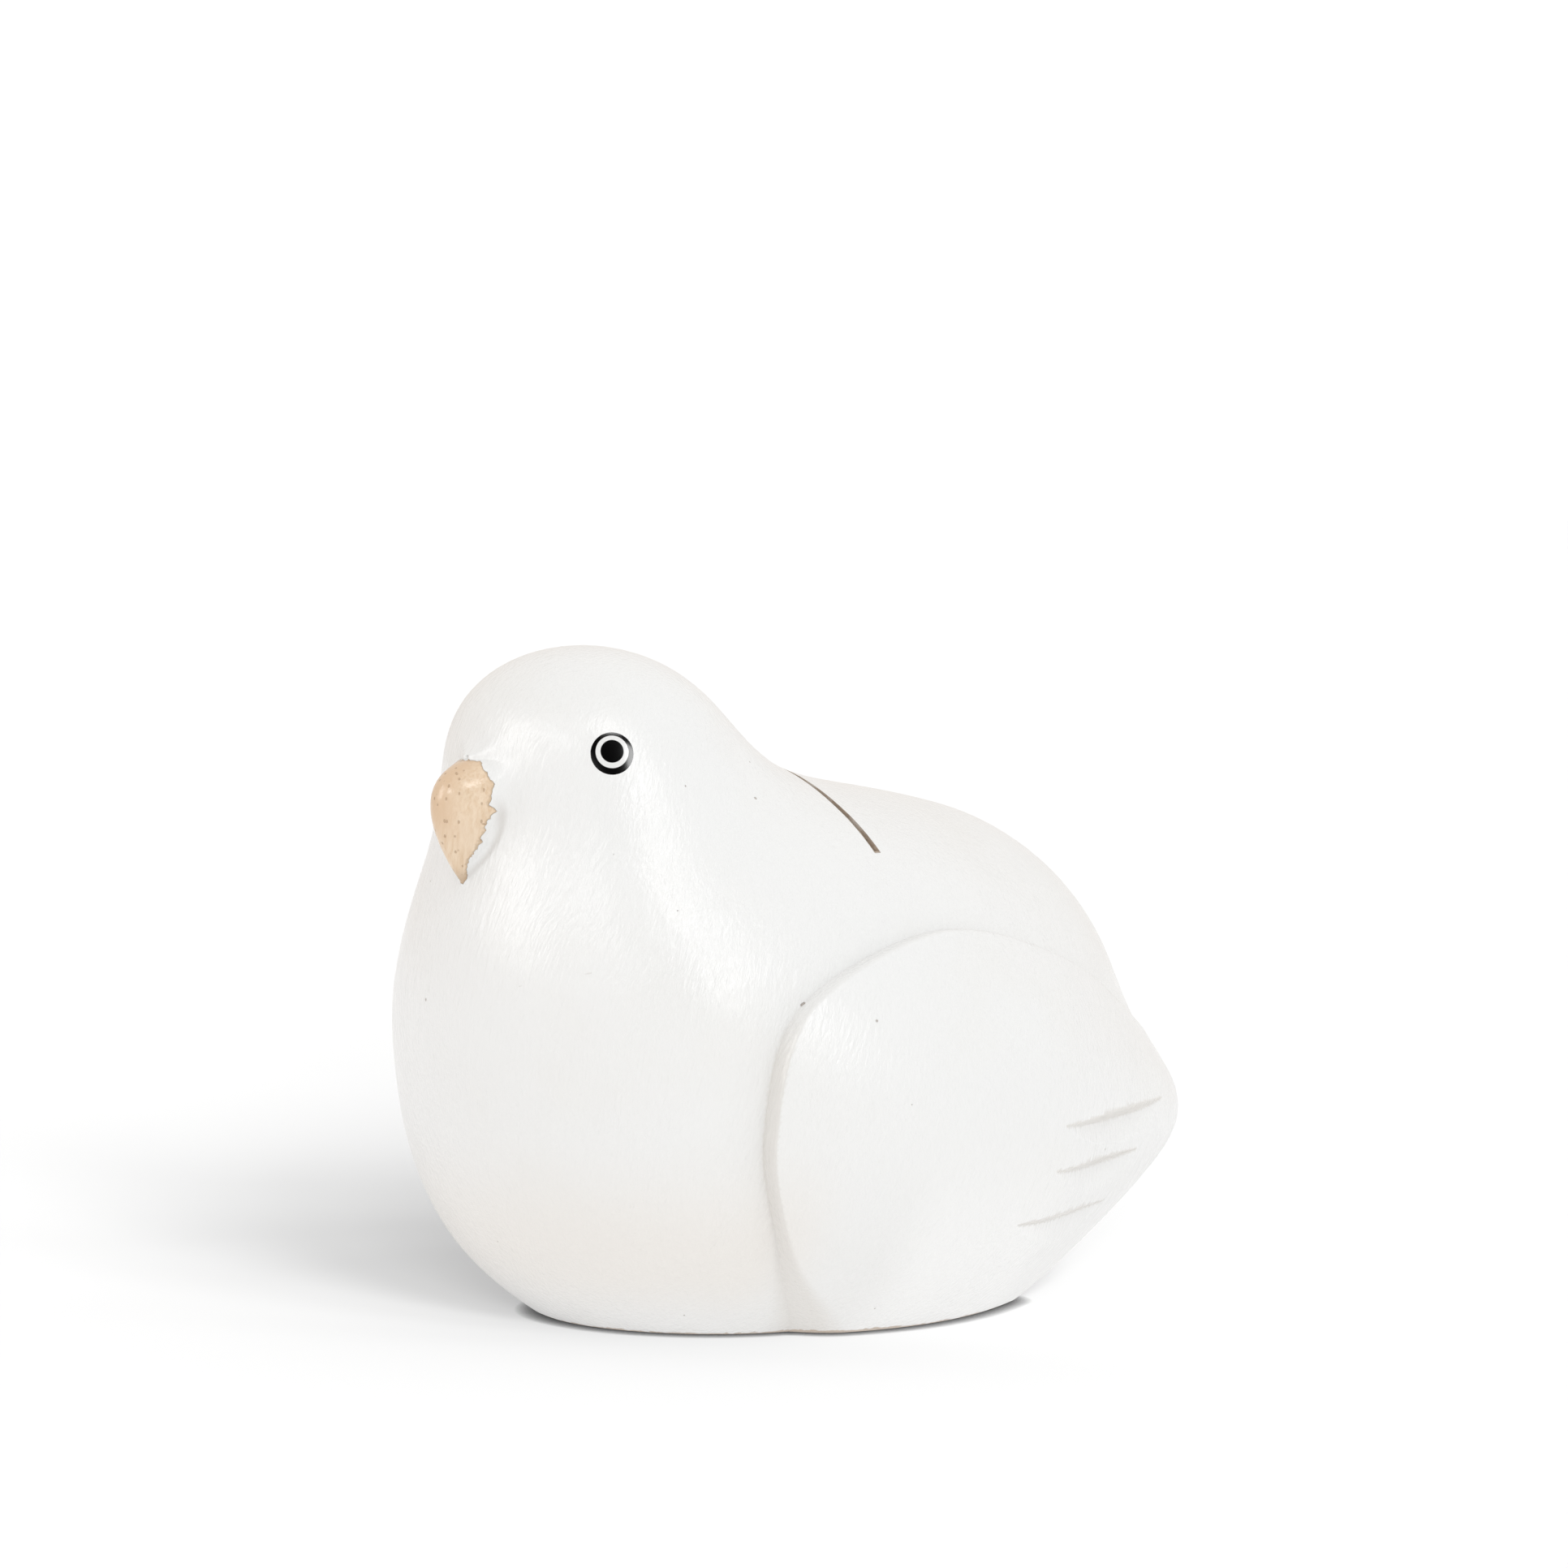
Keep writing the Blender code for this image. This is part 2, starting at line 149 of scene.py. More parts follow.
# The sawn kerf across the back, with walls as rough as the saw left them
KERF_FORWARD = 0.06 * LENGTH
KERF_WIDTH = 0.9 * MM
KERF_FLOOR_UP = 0.53 * LENGTH
KERF_TOP_UP = 0.7 * LENGTH
KERF_ROUGHNESS = 0.12 * MM
KERF_CELLS = 60

# The painted eye: its middle, and the radii and rise of its black disc, white ring and pupil
EYE_FORWARD = 36.4 * MM
EYE_SIDE = 14.3 * MM
EYE_UP = 64.6 * MM
EYE_RADIUS = 2.35 * MM
EYE_WHITE_RADIUS = 1.8 * MM
EYE_WHITE_RISE = 0.18 * MM
PUPIL_RADIUS = 1.27 * MM
PUPIL_RISE = 0.24 * MM

# The point inside the bird from which all of its surface can be seen, and the facets' sizes
CORE_FORWARD = 0.04 * LENGTH
CORE_UP = 0.34 * LENGTH
FARTHEST = 0.8 * LENGTH
FACET_PLAIN = 1.5 * MM
FACET_FINE = 0.32 * MM
FACET_GROWTH = 0.4
FACET_SPLIT = 1.35
FINE_BAND = 0.5 * MM
WING_EDGE_ROWS = (0.0, 0.5, 0.8, 1.0)
SNAP_SHARE = 0.25
FLOOR_SNAP = 0.02 * MM
SHARP_ANGLE = 70.0
# Painted shade on the carving's walls: its border, its strength on the wing, its flare share, where it ends
# in cuts
WALL_BORDER = 0.12 * MM
WALL_SHADE_AT_WING = 0.85
WALL_FLARE_SHARE = 0.6
CUT_TINT_ENDS = 0.05

# The slight unevenness that knife and sandpaper left
TOOL_MARK_SIZE = 9.0 * MM
TOOL_MARK_HEIGHT = 0.06 * MM

# How closely the surface, the outline and the crisp lines are followed
SURFACE_STEPS = 22
OUTLINE_STEPS = 12
SLIDE_ROUNDS = 3
START_BALL_RADIUS = 10.0 * MM
START_BALL_SPLITS = 5
SPLIT_ROUNDS = 8

# Colours
PAINT = (0.80, 0.795, 0.785, 1.0)
PAINT_WARM = (0.792, 0.784, 0.768, 1.0)
# Painted shade on the carving's steep walls
PAINTED_WALL_SHADE = (0.725, 0.70, 0.667, 1.0)
# Painted shade, darker and warmer low on the breast
PAINTED_LOW_SHADE = (0.79, 0.762, 0.728, 1.0)
# Painted light, lighter low on the wing, where the floor's light bounces up
PAINTED_BOUNCE_LIGHT = (0.85, 0.845, 0.835, 1.0)
WORN_RIM = (0.46, 0.35, 0.25, 1.0)
# The dark of the pinholes and the scratch, also used for the painted shade in the beak's crease
PINHOLE_AND_CREASE_SHADE = (0.34, 0.28, 0.23, 1.0)
WOOD_LIGHT = (0.79, 0.635, 0.475, 1.0)
WOOD_DARK = (0.67, 0.48, 0.31, 1.0)
# Painted shade on the bare wood, darker and more orange towards the beak's middle
WOOD_FLANK_SHADE = (0.66, 0.47, 0.31, 1.0)
WOOD_PORE = (0.40, 0.25, 0.14, 1.0)
KERF_WOOD = (0.5, 0.41, 0.33, 1.0)
PAINT_EDGE = (0.42, 0.29, 0.18, 1.0)
EYE_BLACK = (0.001, 0.0008, 0.001, 1.0)
EYE_WHITE = (0.78, 0.775, 0.765, 1.0)

# Gloss
PAINT_ROUGHNESS = 0.27
WOOD_ROUGHNESS = 0.19
EYE_ROUGHNESS = 0.12

# The bare patch on the beak, in millimetres: how far to the side the paint has come off at each height
BARE_PATCH = (
    (50.0, 0.3),
    (50.7, 0.7),
    (51.7, 1.1),
    (53.0, 1.9),
    (54.0, 2.5),
    (54.8, 3.05),
    (56.7, 3.8),
    (57.7, 4.2),
    (58.2, 4.55),
    (58.9, 4.15),
    (59.6, 4.2),
    (61.1, 4.4),
    (62.2, 3.55),
    (63.3, 2.3),
    (63.6, 1.8),
)
BARE_BEHIND = 40.5
CRUMB_SCALE = 1.6
CRUMB_REACH = 0.5

# The crease where the beak's painted flank meets the face, along which shade is painted, in millimetres: up,
# to the side
BEAK_CREASE = (
    (51.0, 1.0),
    (52.7, 2.7),
    (53.8, 3.6),
    (54.9, 4.2),
    (56.1, 4.65),
    (58.1, 4.9),
    (60.2, 4.7),
)
CREASE_WIDTH = 0.75
CREASE_FULL_BELOW = 57.5
WIDEST_PROFILE = 5.0

# Small marks on the bird's left, in millimetres (side, back, up): pinholes in the paint, a scratch on the
# breast, a nick at the shoulder and a short crack in the beak
PINHOLE_PLACES = ((18.9, -20.0, 59.3), (34.7, -16.1, 35.7), (-4.4, -47.7, 37.1), (10.9, -21.8, 70.4))
PINHOLE_RADIUS = 0.16
PINHOLE_SOFTNESS = 0.06
SCRATCH = ((10.2, -46.0, 39.5), (17.4, -41.8, 41.2))
SHOULDER_NICK = ((30.1, -22.9, 37.5), (30.25, -22.6, 37.7))
BEAK_CRACK = ((3.3, -46.2, 56.9), (3.9, -45.6, 56.7))

# Where the finish changes, in millimetres: for each, the place where the change begins and where it is full
PATCH_EDGE = (-0.02, 0.04)
PATCH_BRINK = (0.22, 0.02)
UNDERSIDE_EDGE = (0.03, 0.01)
NICK_EDGE = (0.18, 0.08)
SCRATCH_EDGE = (0.14, 0.04)
CRACK_EDGE = (0.14, 0.05)
# Where the painted shade on the beak's middle lies
FLANK_ACROSS = (3.6, 1.2)
FLANK_UP = (53.5, 58.5)
WORN_TIP_UP = (52.2, 50.2)
# Where the painted shade low on the breast lies
LOW_BREAST_UP = (24.0, 10.0)
LOW_BREAST_FORWARD = (18.0, 26.0)
LOW_BREAST_FOOT = (1.0, 8.0)
# Where the painted light low on the wing lies
LOW_WING_UP = (24.0, 8.0)
LOW_WING_FRONT = (15.0, 7.0)
LOW_WING_REAR = (-17.0, -7.0)
GROOVE_REAR = (3.0, 6.0)
GROOVE_FRONT = (18.0, 15.0)
# Where the painted shade on the carving's walls fades towards the lit top
WALL_SHADE_UP = (39.0, 30.0)

# Where in its noise or cells each texture begins and is full, and how much the grain and the patches share
WOOD_TONES = (0.36, 0.7)
GRAIN_SHARE = 0.6
PATCHES_SHARE = 0.4
PORE_EDGE = (0.2, 0.11)
BLOTCH_EDGE = (0.45, 0.75)
RIM_BREAKS = (0.36, 0.7)
HOLE_EDGE = (0.022, 0.012)

# How strongly each layer of the finish shows over the one below it
# How strong the painted shade on the beak's middle is
FLANK_SHADE_TINT = 0.85
CRACK_TINT = 0.7
WORN_TIP_TINT = 0.7
PORE_TINT = 0.6
BRINK_TINT = 0.6
# How strong the painted shade in the beak's crease is
CREASE_SHADE_TINT = 0.28
# How much of the painted shade low on the breast is left at its foot
LOW_BREAST_FOOT_TINT = 0.1
# How faint the painted shade on the carving's walls is near the top
WALL_SHADE_ABOVE = 0.1
RIM_TINT = 0.85
HOLE_TINT = 0.7
SCRATCH_TINT = 0.2

# How far up the paint is worn off at the rim, in millimetres, and how much farther by the groove
RIM_WORN_UP = (0.1, 0.4)
GROOVE_WORN_UP = 0.25
RIM_SOFTNESS = 0.1

# How many features of each texture there are to a millimetre
GRAIN_SCALE = 2.6
PATCHES_SCALE = 0.16
PORE_SCALE = 1.3
BLOTCH_SCALE = 0.06
RIM_SCALE = 0.5
HOLE_SCALE = 0.2
DRIFT_SCALE = 0.1
STROKE_SCALE = 1.9
RIPPLE_SCALE = 0.45

# How long the grain, the pores and the brush strokes are for their width, and how they lean, in degrees
GRAIN_SIZE = (1.0, 1.0, 6.0)
GRAIN_TURN = (10.0, 24.0, 0.0)
PORE_SIZE = (1.0, 1.0, 1.8)
STROKE_SIZE = (1.0, 1.0, 7.0)
STROKE_TURN = (-13.5, 11.0, 0.0)
STROKE_DRIFT = 2.5

# The fine relief, in millimetres
STROKE_HEIGHT = 0.12
RIPPLE_HEIGHT = 0.05
HOLE_DEPTH = 0.08
GRAIN_HEIGHT = 0.03
PORE_DEPTH = 0.05
PAINT_THICKNESS = 0.05

# The studio, in metres and degrees; azimuths are from the bird's front towards its left
CAMERA_AZIMUTH = 50.0
CAMERA_ELEVATION = 5.5
CAMERA_DISTANCE = 0.7
CAMERA_TARGET = Vector((0.0, 0.0005, 0.033))
TARGET_COLUMN = 970.97
TARGET_ROW = 1248.0
PIXELS_PER_METRE = 10760.0
IMAGE_SIZE = 1932.0
SENSOR_WIDTH = 36.0

# The floor, which glows a little so that it stays white
FLOOR_RADIUS = 6.0
FLOOR_ALBEDO = 0.08
FLOOR_GLOW = 0.45
FLOOR_DROP = 0.05 * MM

# The shade that the camera sees on the floor by the bird: how far it reaches, and how much of the light is
# lost in full shade
CONTACT_REACH = 1.5 * MM
CONTACT_SHADE = 0.9
NEARBY_REACH = 80.0 * MM
NEARBY_SHADE = 0.22
NEARBY_FRONT = CAMERA_AZIMUTH - 20.0
NEARBY_BEGINS = (12.0 * MM, 45.0 * MM)

# The panes of the tall slanting window on the floor's side: azimuth, elevation, share of the floor's light
KEY_PANES = (
    (CAMERA_AZIMUTH + 5.0, 12.0, 0.14),
    (CAMERA_AZIMUTH + 20.0, 22.0, 0.21),
    (CAMERA_AZIMUTH + 36.0, 35.0, 0.105),
    (CAMERA_AZIMUTH + 60.0, 50.0, 0.035),
)
KEY_SPREAD = 17.0
KEY_DISTANCE = 2.0

# The softboxes that show as highlights: name, azimuth, elevation, roll, width, height, radiance
SOFTBOXES = (
    ("right_softbox", CAMERA_AZIMUTH + 27.0, 23.0, -22.0, 0.2, 0.32, 12.0),
    ("top_softbox", CAMERA_AZIMUTH + 13.0, 44.0, 0.0, 0.34, 0.22, 9.5),
    ("small_softbox", CAMERA_AZIMUTH - 31.0, 31.0, 0.0, 0.08, 0.08, 45.0),
    ("left_softbox", CAMERA_AZIMUTH - 67.0, 26.0, 0.0, 0.45, 0.55, 4.2),
)
SOFTBOX_DISTANCE = 1.2

# The room's light, the same from everywhere and growing towards each side, and how much of it shines back
ROOM = (0.88, 0.83, 0.795)
ROOM_SIDES = (
    (CAMERA_AZIMUTH, 0.0, (0.34, 0.38, 0.395)),
    (CAMERA_AZIMUTH + 90.0, 0.0, (0.19, 0.24, 0.28)),
    (CAMERA_AZIMUTH + 180.0, 0.0, (0.17, 0.13, 0.09)),
    (CAMERA_AZIMUTH, 90.0, (0.125, 0.17, 0.2)),
)
ROOM_IN_REFLECTIONS = 0.8
BACKDROP_WHITE = 1.1

# The dark gap between the softboxes that shows in the eye
GAP_AZIMUTH = CAMERA_AZIMUTH + 13.0
GAP_ELEVATION = 30.0
GAP_EDGE = (22.0, 16.0)
GAP_SHINE = 0.02


def smooth_step(value):
    """0 below 0, 1 above 1, and a soft rise between."""
    t = np.clip(value, 0.0, 1.0)
    return t * t * (3.0 - 2.0 * t)


def smooth_union(first, second, blend):
    """The union of two fields, filleted over a width of blend."""
    share = np.clip(0.5 + 0.5 * (second - first) / blend, 0.0, 1.0)
    return second * (1.0 - share) + first * share - blend * share * (1.0 - share)


def mass_field(mass, forward, side, up):
    """About the distance to the mass's surface, negative inside."""
    angle = math.radians(mass.nose_up)
    along = (forward - mass.forward) * math.cos(angle) + (up - mass.up) * math.sin(angle)
    above = (up - mass.up) * math.cos(angle) - (forward - mass.forward) * math.sin(angle)
    halves = (mass.half_length, mass.half_width, mass.half_height)
    near = sum((value / half) ** 2 for value, half in zip((along, side, above), halves))
    slope = sum((value / half**2) ** 2 for value, half in zip((along, side, above), halves))
    level = np.sqrt(near)
    return level * (level - 1.0) / np.sqrt(slope + 1e-12)


def beak_field(forward, side, up):
    """The beak: drop-shaped from the front, with parabolic sections that narrow to the tip."""
    drop = np.clip((BEAK_TOP_UP - up) / (BEAK_TOP_UP - BEAK_TIP_UP), 1e-4, 1.0 - 1e-4)
    swell = np.sin(np.pi * drop**BEAK_BULGE) ** BEAK_FULLNESS
    half_width = BEAK_HALF_WIDTH * swell
    reach = BEAK_REACH * swell
    root = BEAK_TOP_ROOT + (BEAK_TIP_ROOT - BEAK_TOP_ROOT) * drop
    level = (forward - root) / reach + (side / half_width) ** 2 - 1.0
    slope = np.sqrt(reach**-2.0 + (2.0 * side / half_width**2) ** 2)
    ends = np.maximum(up - BEAK_TOP_UP, BEAK_TIP_UP - up)
    behind = BEAK_TOP_ROOT - BEAK_EMBEDDED - forward
    return np.maximum(level / slope, np.maximum(ends, behind))


def bird_field(points):
    """About the distance from each point to the uncarved bird, negative inside."""
    forward, side, up = -points[:, 1], np.abs(points[:, 0]), points[:, 2]
    body = mass_field(BREAST, forward, side, up)
    body = smooth_union(body, mass_field(BACK, forward, side, up), BACK_BLEND)
    body = smooth_union(body, mass_field(TAIL, forward, side, up), TAIL_BLEND)
    head = mass_field(HEAD, forward, side, up)
    head = smooth_union(head, mass_field(NECK, forward, side, up), HEAD_BLEND)
    bird = smooth_union(body, head, NECK_BLEND)
    angle = math.radians(UNDERCUT_ANGLE)
    below_tail = -(forward - UNDERCUT_FOOT) * math.sin(angle) - up * math.cos(angle)
    bird = -smooth_union(-bird, -below_tail, UNDERCUT_BLEND)
    brow = smooth_step((BEAK_TOP_UP - up) / (0.5 * (BEAK_TOP_UP - BEAK_TIP_UP)))
    beak_blend = BEAK_BROW_BLEND + (BEAK_CREASE_BLEND - BEAK_BROW_BLEND) * brow
    return smooth_union(bird, beak_field(forward, side, up), beak_blend)


def normals(points):
    """The outward directions of the uncarved bird's surface."""
    step = 0.02 * MM
    slopes = [
        bird_field(points + step * axis) - bird_field(points - step * axis)
        for axis in np.eye(3)
    ]
    out = np.stack(slopes, axis=1)
    return out / np.linalg.norm(out, axis=1)[:, None]


def on_surface(points):
    """Each point moved along its ray from the core to the surface of the uncarved bird."""
    core = np.array((0.0, -CORE_FORWARD, CORE_UP))
    rays = points - core
    rays = rays / np.linalg.norm(rays, axis=1)[:, None]
    inner = np.zeros(len(rays))
    outer = np.full(len(rays), FARTHEST)
    for _ in range(SURFACE_STEPS):
        middle = 0.5 * (inner + outer)
        inside = bird_field(core + rays * middle[:, None]) < 0.0
        inner = np.where(inside, middle, inner)
        outer = np.where(inside, outer, middle)
    return core + rays * inner[:, None]


def curve_through(knots, steps):
    """A smooth curve through the knots, as a row of points."""
    knots = np.array(knots)
    ends = np.vstack((2.0 * knots[0] - knots[1], knots, 2.0 * knots[-1] - knots[-2]))
    t = np.linspace(0.0, 1.0, steps, endpoint=False)[:, None]
    rows = []
    for before, start, end, after in zip(ends, ends[1:], ends[2:], ends[3:]):
        pull_in, pull_out = 0.5 * (end - before), 0.5 * (after - start)
        rows.append(
            start * (1.0 - 3.0 * t**2 + 2.0 * t**3)
            + end * (3.0 * t**2 - 2.0 * t**3)
            + pull_in * (t - 2.0 * t**2 + t**3)
            + pull_out * (t**3 - t**2)
        )
    return np.vstack(rows + [knots[-1:]])


WING_CURVE = curve_through(WING_OUTLINE, OUTLINE_STEPS)
FIRST_RIM_LEVEL = len(WING_EDGE_ROWS) + 3 * len(FEATHER_CUTS) + 1


def wing_distance(points):
    """In side view, the way from each point to the wing's outline, and its length, negative on the wing."""
    seen = np.stack((-points[:, 1], points[:, 2]), axis=1)
    best = np.full(len(seen), np.inf)
    way = np.zeros_like(seen)
    sign = np.ones(len(seen))
    for start, end in zip(WING_CURVE, WING_CURVE[1:]):
        run = end - start
        share = np.clip((seen - start) @ run / (run @ run), 0.0, 1.0)
        offset = start + share[:, None] * run - seen
        length = np.hypot(offset[:, 0], offset[:, 1])
        nearer = length < best
        best = np.where(nearer, length, best)
        way[nearer] = offset[nearer]
        turn = run[0] * (seen[:, 1] - start[1]) - run[1] * (seen[:, 0] - start[0])
        sign = np.where(nearer, np.where(turn > 0.0, -1.0, 1.0), sign)
    return way, best * sign


def cut_place(cut, points):
    """Where each point is along a feather cut, from 0 at its front end to 1, how far below it, and the
    share of the cut's full size there, which falls to nothing at both ends."""
    along = (cut.front_end + points[:, 1]) / (cut.front_end - cut.rear_end)
    line = cut.up + CUT_RISE * along - 4.0 * CUT_SAG * along * (1.0 - along)
    share = np.sin(np.pi * np.clip(along, 0.0, 1.0) ** CUT_LEAN) ** CUT_FULLNESS
    return along, line - points[:, 2], share


def wing_front(points):
    """1 at the front of the wing, with a soft fall to 0 at its rear."""
    front, rear = WING_OUTLINE[2][0], WING_OUTLINE[6][0]
    return smooth_step((-points[:, 1] - rear) / (front - rear))


def wing_foot(points):
    """1 at the foot of the wing, with a soft fall to 0 above it."""
    return np.clip(1.0 - points[:, 2] / WING_FOOT_HEIGHT, 0.0, 1.0) ** 2


def wing_edge_width(points):
    """How wide the wall at the wing's edge is in side view, flaring at its foot."""
    width = WING_REAR_EDGE + (WING_FRONT_EDGE - WING_REAR_EDGE) * wing_front(points)
    return width + WING_FOOT_FLARE * wing_foot(points)


def wing_depth(points):
    """How deep the ground is carved away around the wing, and the wall at the wing's own edge."""
    distance = wing_distance(points)[1]
    depth = WING_REAR_DEPTH + (WING_FRONT_DEPTH - WING_REAR_DEPTH) * wing_front(points)
    depth += WING_FOOT_DEPTH * wing_foot(points)
    scoop = np.clip(1.0 - distance / WING_SCOOP, 0.0, 1.0) ** 2
    edge = np.clip(1.0 + distance / wing_edge_width(points), 0.0, 1.0)
    rounding = WING_EDGE_ROUNDING + WING_FOOT_SOFTNESS * wing_foot(points)
    fall = (np.hypot(edge, rounding) - rounding) / (np.hypot(1.0, rounding) - rounding)
    return depth * np.where(distance > 0.0, scoop, fall)


def cuts_depth(points):
    """How deep the feather cuts go: a steep wall above each line, and a gentle facet below it."""
    total = np.zeros(len(points))
    for cut in FEATHER_CUTS:
        along, below, share = cut_place(cut, points)
        rise = np.where(below < 0.0, -below / CUT_STEEP_SIDE, below / CUT_SOFT_SIDE)
        total += CUT_DEPTH * np.clip(share - rise, 0.0, 1.0)
    return total


def rim_wear(points):
    """How far the worn edge round the underside is set in."""
    return RIM_WEAR * np.clip(1.0 - points[:, 2] / RIM_HEIGHT, 0.0, 1.0) ** 1.5


def wall_shade_strength(points):
    """How strongly shade is painted on the carving's steep walls and feather cuts: up to 1, with a soft
    border.
    """
    flare = WALL_FLARE_SHARE * WING_FOOT_FLARE * wing_foot(points)
    width = wing_edge_width(points) - flare
    outside = np.abs(wing_distance(points)[1] + 0.5 * width) - 0.5 * width
    wall = WALL_SHADE_AT_WING * np.clip(1.0 - outside / (WALL_BORDER + flare), 0.0, 1.0)
    for cut in FEATHER_CUTS:
        along, below, share = cut_place(cut, points)
        beside = np.maximum(below, -below - CUT_STEEP_SIDE * share)
        in_cut = np.clip(1.0 - beside / WALL_BORDER, 0.0, 1.0)
        wall = np.maximum(wall, np.where(share > CUT_TINT_ENDS, in_cut, 0.0))
    return wall


def eye_distance(points):
    """How far each point is from the edge of its side's painted eye, negative in the eye."""
    middle = np.array((EYE_SIDE, -EYE_FORWARD, EYE_UP))
    mirrored = np.stack((np.abs(points[:, 0]), points[:, 1], points[:, 2]), axis=1)
    return np.linalg.norm(mirrored - middle, axis=1) - EYE_RADIUS


def facet_size(points):
    """The facets' wanted size: fine along the carving, on the beak and round the eyes, plain elsewhere."""
    width = wing_edge_width(points)
    away = np.abs(wing_distance(points)[1] + 0.5 * width) - 0.5 * width
    for cut in FEATHER_CUTS:
        along, below, share = cut_place(cut, points)
        past_end = np.maximum(np.abs(along - 0.5) - 0.5, 0.0) * (cut.front_end - cut.rear_end)
        past_side = np.maximum(-below, below - CUT_SOFT_SIDE)
        away = np.minimum(away, np.hypot(past_end, np.maximum(past_side, 0.0)))
    beak_middle = np.array((0.0, -BEAK_TOP_ROOT, 0.5 * (BEAK_TOP_UP + BEAK_TIP_UP)))
    beak_size = 0.5 * (BEAK_TOP_UP - BEAK_TIP_UP)
    away = np.minimum(away, np.linalg.norm(points - beak_middle, axis=1) - beak_size)
    away = np.minimum(away, np.abs(eye_distance(points)))
    return np.clip(FACET_FINE + FACET_GROWTH * (away - FINE_BAND), FACET_FINE, FACET_PLAIN)


def vertex_array(mesh):
    """The places of the mesh's vertices, as rows."""
    return np.array([vertex.co[:] for vertex in mesh.verts])


def place_vertices(mesh, points):
    """The mesh's vertices put at those points."""
    for vertex, point in zip(mesh.verts, points):
        vertex.co = point


def refined_sphere():
    """A ball of triangles on the bird's surface, split until each edge is short enough for its place."""
    mesh = bmesh.new()
    bmesh.ops.create_icosphere(mesh, subdivisions=START_BALL_SPLITS, radius=START_BALL_RADIUS)
    place_vertices(mesh, vertex_array(mesh) + np.array((0.0, -CORE_FORWARD, CORE_UP)))
    for _ in range(SPLIT_ROUNDS):
        place_vertices(mesh, on_surface(vertex_array(mesh)))
        mesh.edges.ensure_lookup_table()
        middles = np.array([0.5 * (e.verts[0].co + e.verts[1].co) for e in mesh.edges])
        lengths = np.array([e.calc_length() for e in mesh.edges])
        wanted = facet_size(middles)
        long = [edge for edge, is_long in zip(mesh.edges, lengths > FACET_SPLIT * wanted) if is_long]
        if not long:
            break
        bmesh.ops.subdivide_edges(mesh, edges=long, cuts=1, use_grid_fill=True, use_single_edge=True)
        bmesh.ops.triangulate(mesh, faces=mesh.faces[:])
        bmesh.ops.beautify_fill(mesh, faces=mesh.faces[:], edges=mesh.edges[:])
    place_vertices(mesh, on_surface(vertex_array(mesh)))
    return mesh


def tool_marks(points):
    """How high the slightly uneven surface stands at each point."""
    heights = [noise.noise(Vector(point / TOOL_MARK_SIZE)) for point in points]
    return TOOL_MARK_HEIGHT * np.array(heights)


def carved(points):
    """Points of the uncarved surface moved to the bottom of the carving, level with the floor near it."""
    depth = wing_depth(points) + cuts_depth(points) + rim_wear(points) - tool_marks(points)
    out = normals(points)
    out[:, 2] *= smooth_step(points[:, 2] / LEVEL_CARVING_HEIGHT)
    out /= np.linalg.norm(out, axis=1)[:, None]
    return points - out * depth[:, None]


def eye_edge(points):
    """How far each point is outside the eye's edge, and the way to the edge in side view."""
    distance = eye_distance(points)
    from_middle = np.stack((-points[:, 1] - EYE_FORWARD, points[:, 2] - EYE_UP), axis=1)
    near = np.abs(distance) < EYE_RADIUS
    reach = np.linalg.norm(from_middle, axis=1)[:, None]
    way = -distance[:, None] * from_middle / np.maximum(reach, 0.1 * EYE_RADIUS)
    return np.where(near, distance, np.nan), way


def crease_levels(points):
    """The crisp lines: for each, a signed distance that is zero on it, and the way to it in side view."""
    way, distance = wing_distance(points)
    levels = []
    for inset in WING_EDGE_ROWS:
        past = distance + inset * wing_edge_width(points)
        share = past / np.where(distance == 0.0, np.inf, distance)
        levels.append((past, way * share[:, None]))
    for cut in FEATHER_CUTS:
        along, below, share = cut_place(cut, points)
        beside = (along < 0.0) | (along > 1.0)
        for rise in (0.0, CUT_STEEP_SIDE, -CUT_SOFT_SIDE):
            past = below + rise * share
            levels.append((np.where(beside, np.nan, past), np.stack((0.0 * past, past), axis=1)))
    levels.append(eye_edge(points))
    for height in (0.0, 0.3 * RIM_HEIGHT, RIM_HEIGHT):
        past = points[:, 2] - height
        levels.append((past, np.stack((0.0 * past, -past), axis=1)))
    return levels


def moved_to_line(points, level):
    """Points slid over the surface on to one of the crisp lines."""
    for _ in range(SLIDE_ROUNDS):
        way = np.nan_to_num(crease_levels(points)[level][1])
        points = on_surface(points + np.stack((0.0 * way[:, 0], -way[:, 0], way[:, 1]), axis=1))
    return points


def slide_reach(points, level):
    """How far a vertex may slide on to a line: less at the rim, where the lines are close together."""
    reach = SNAP_SHARE * facet_size(points)
    return np.minimum(reach, 0.1 * RIM_HEIGHT) if level >= FIRST_RIM_LEVEL else reach


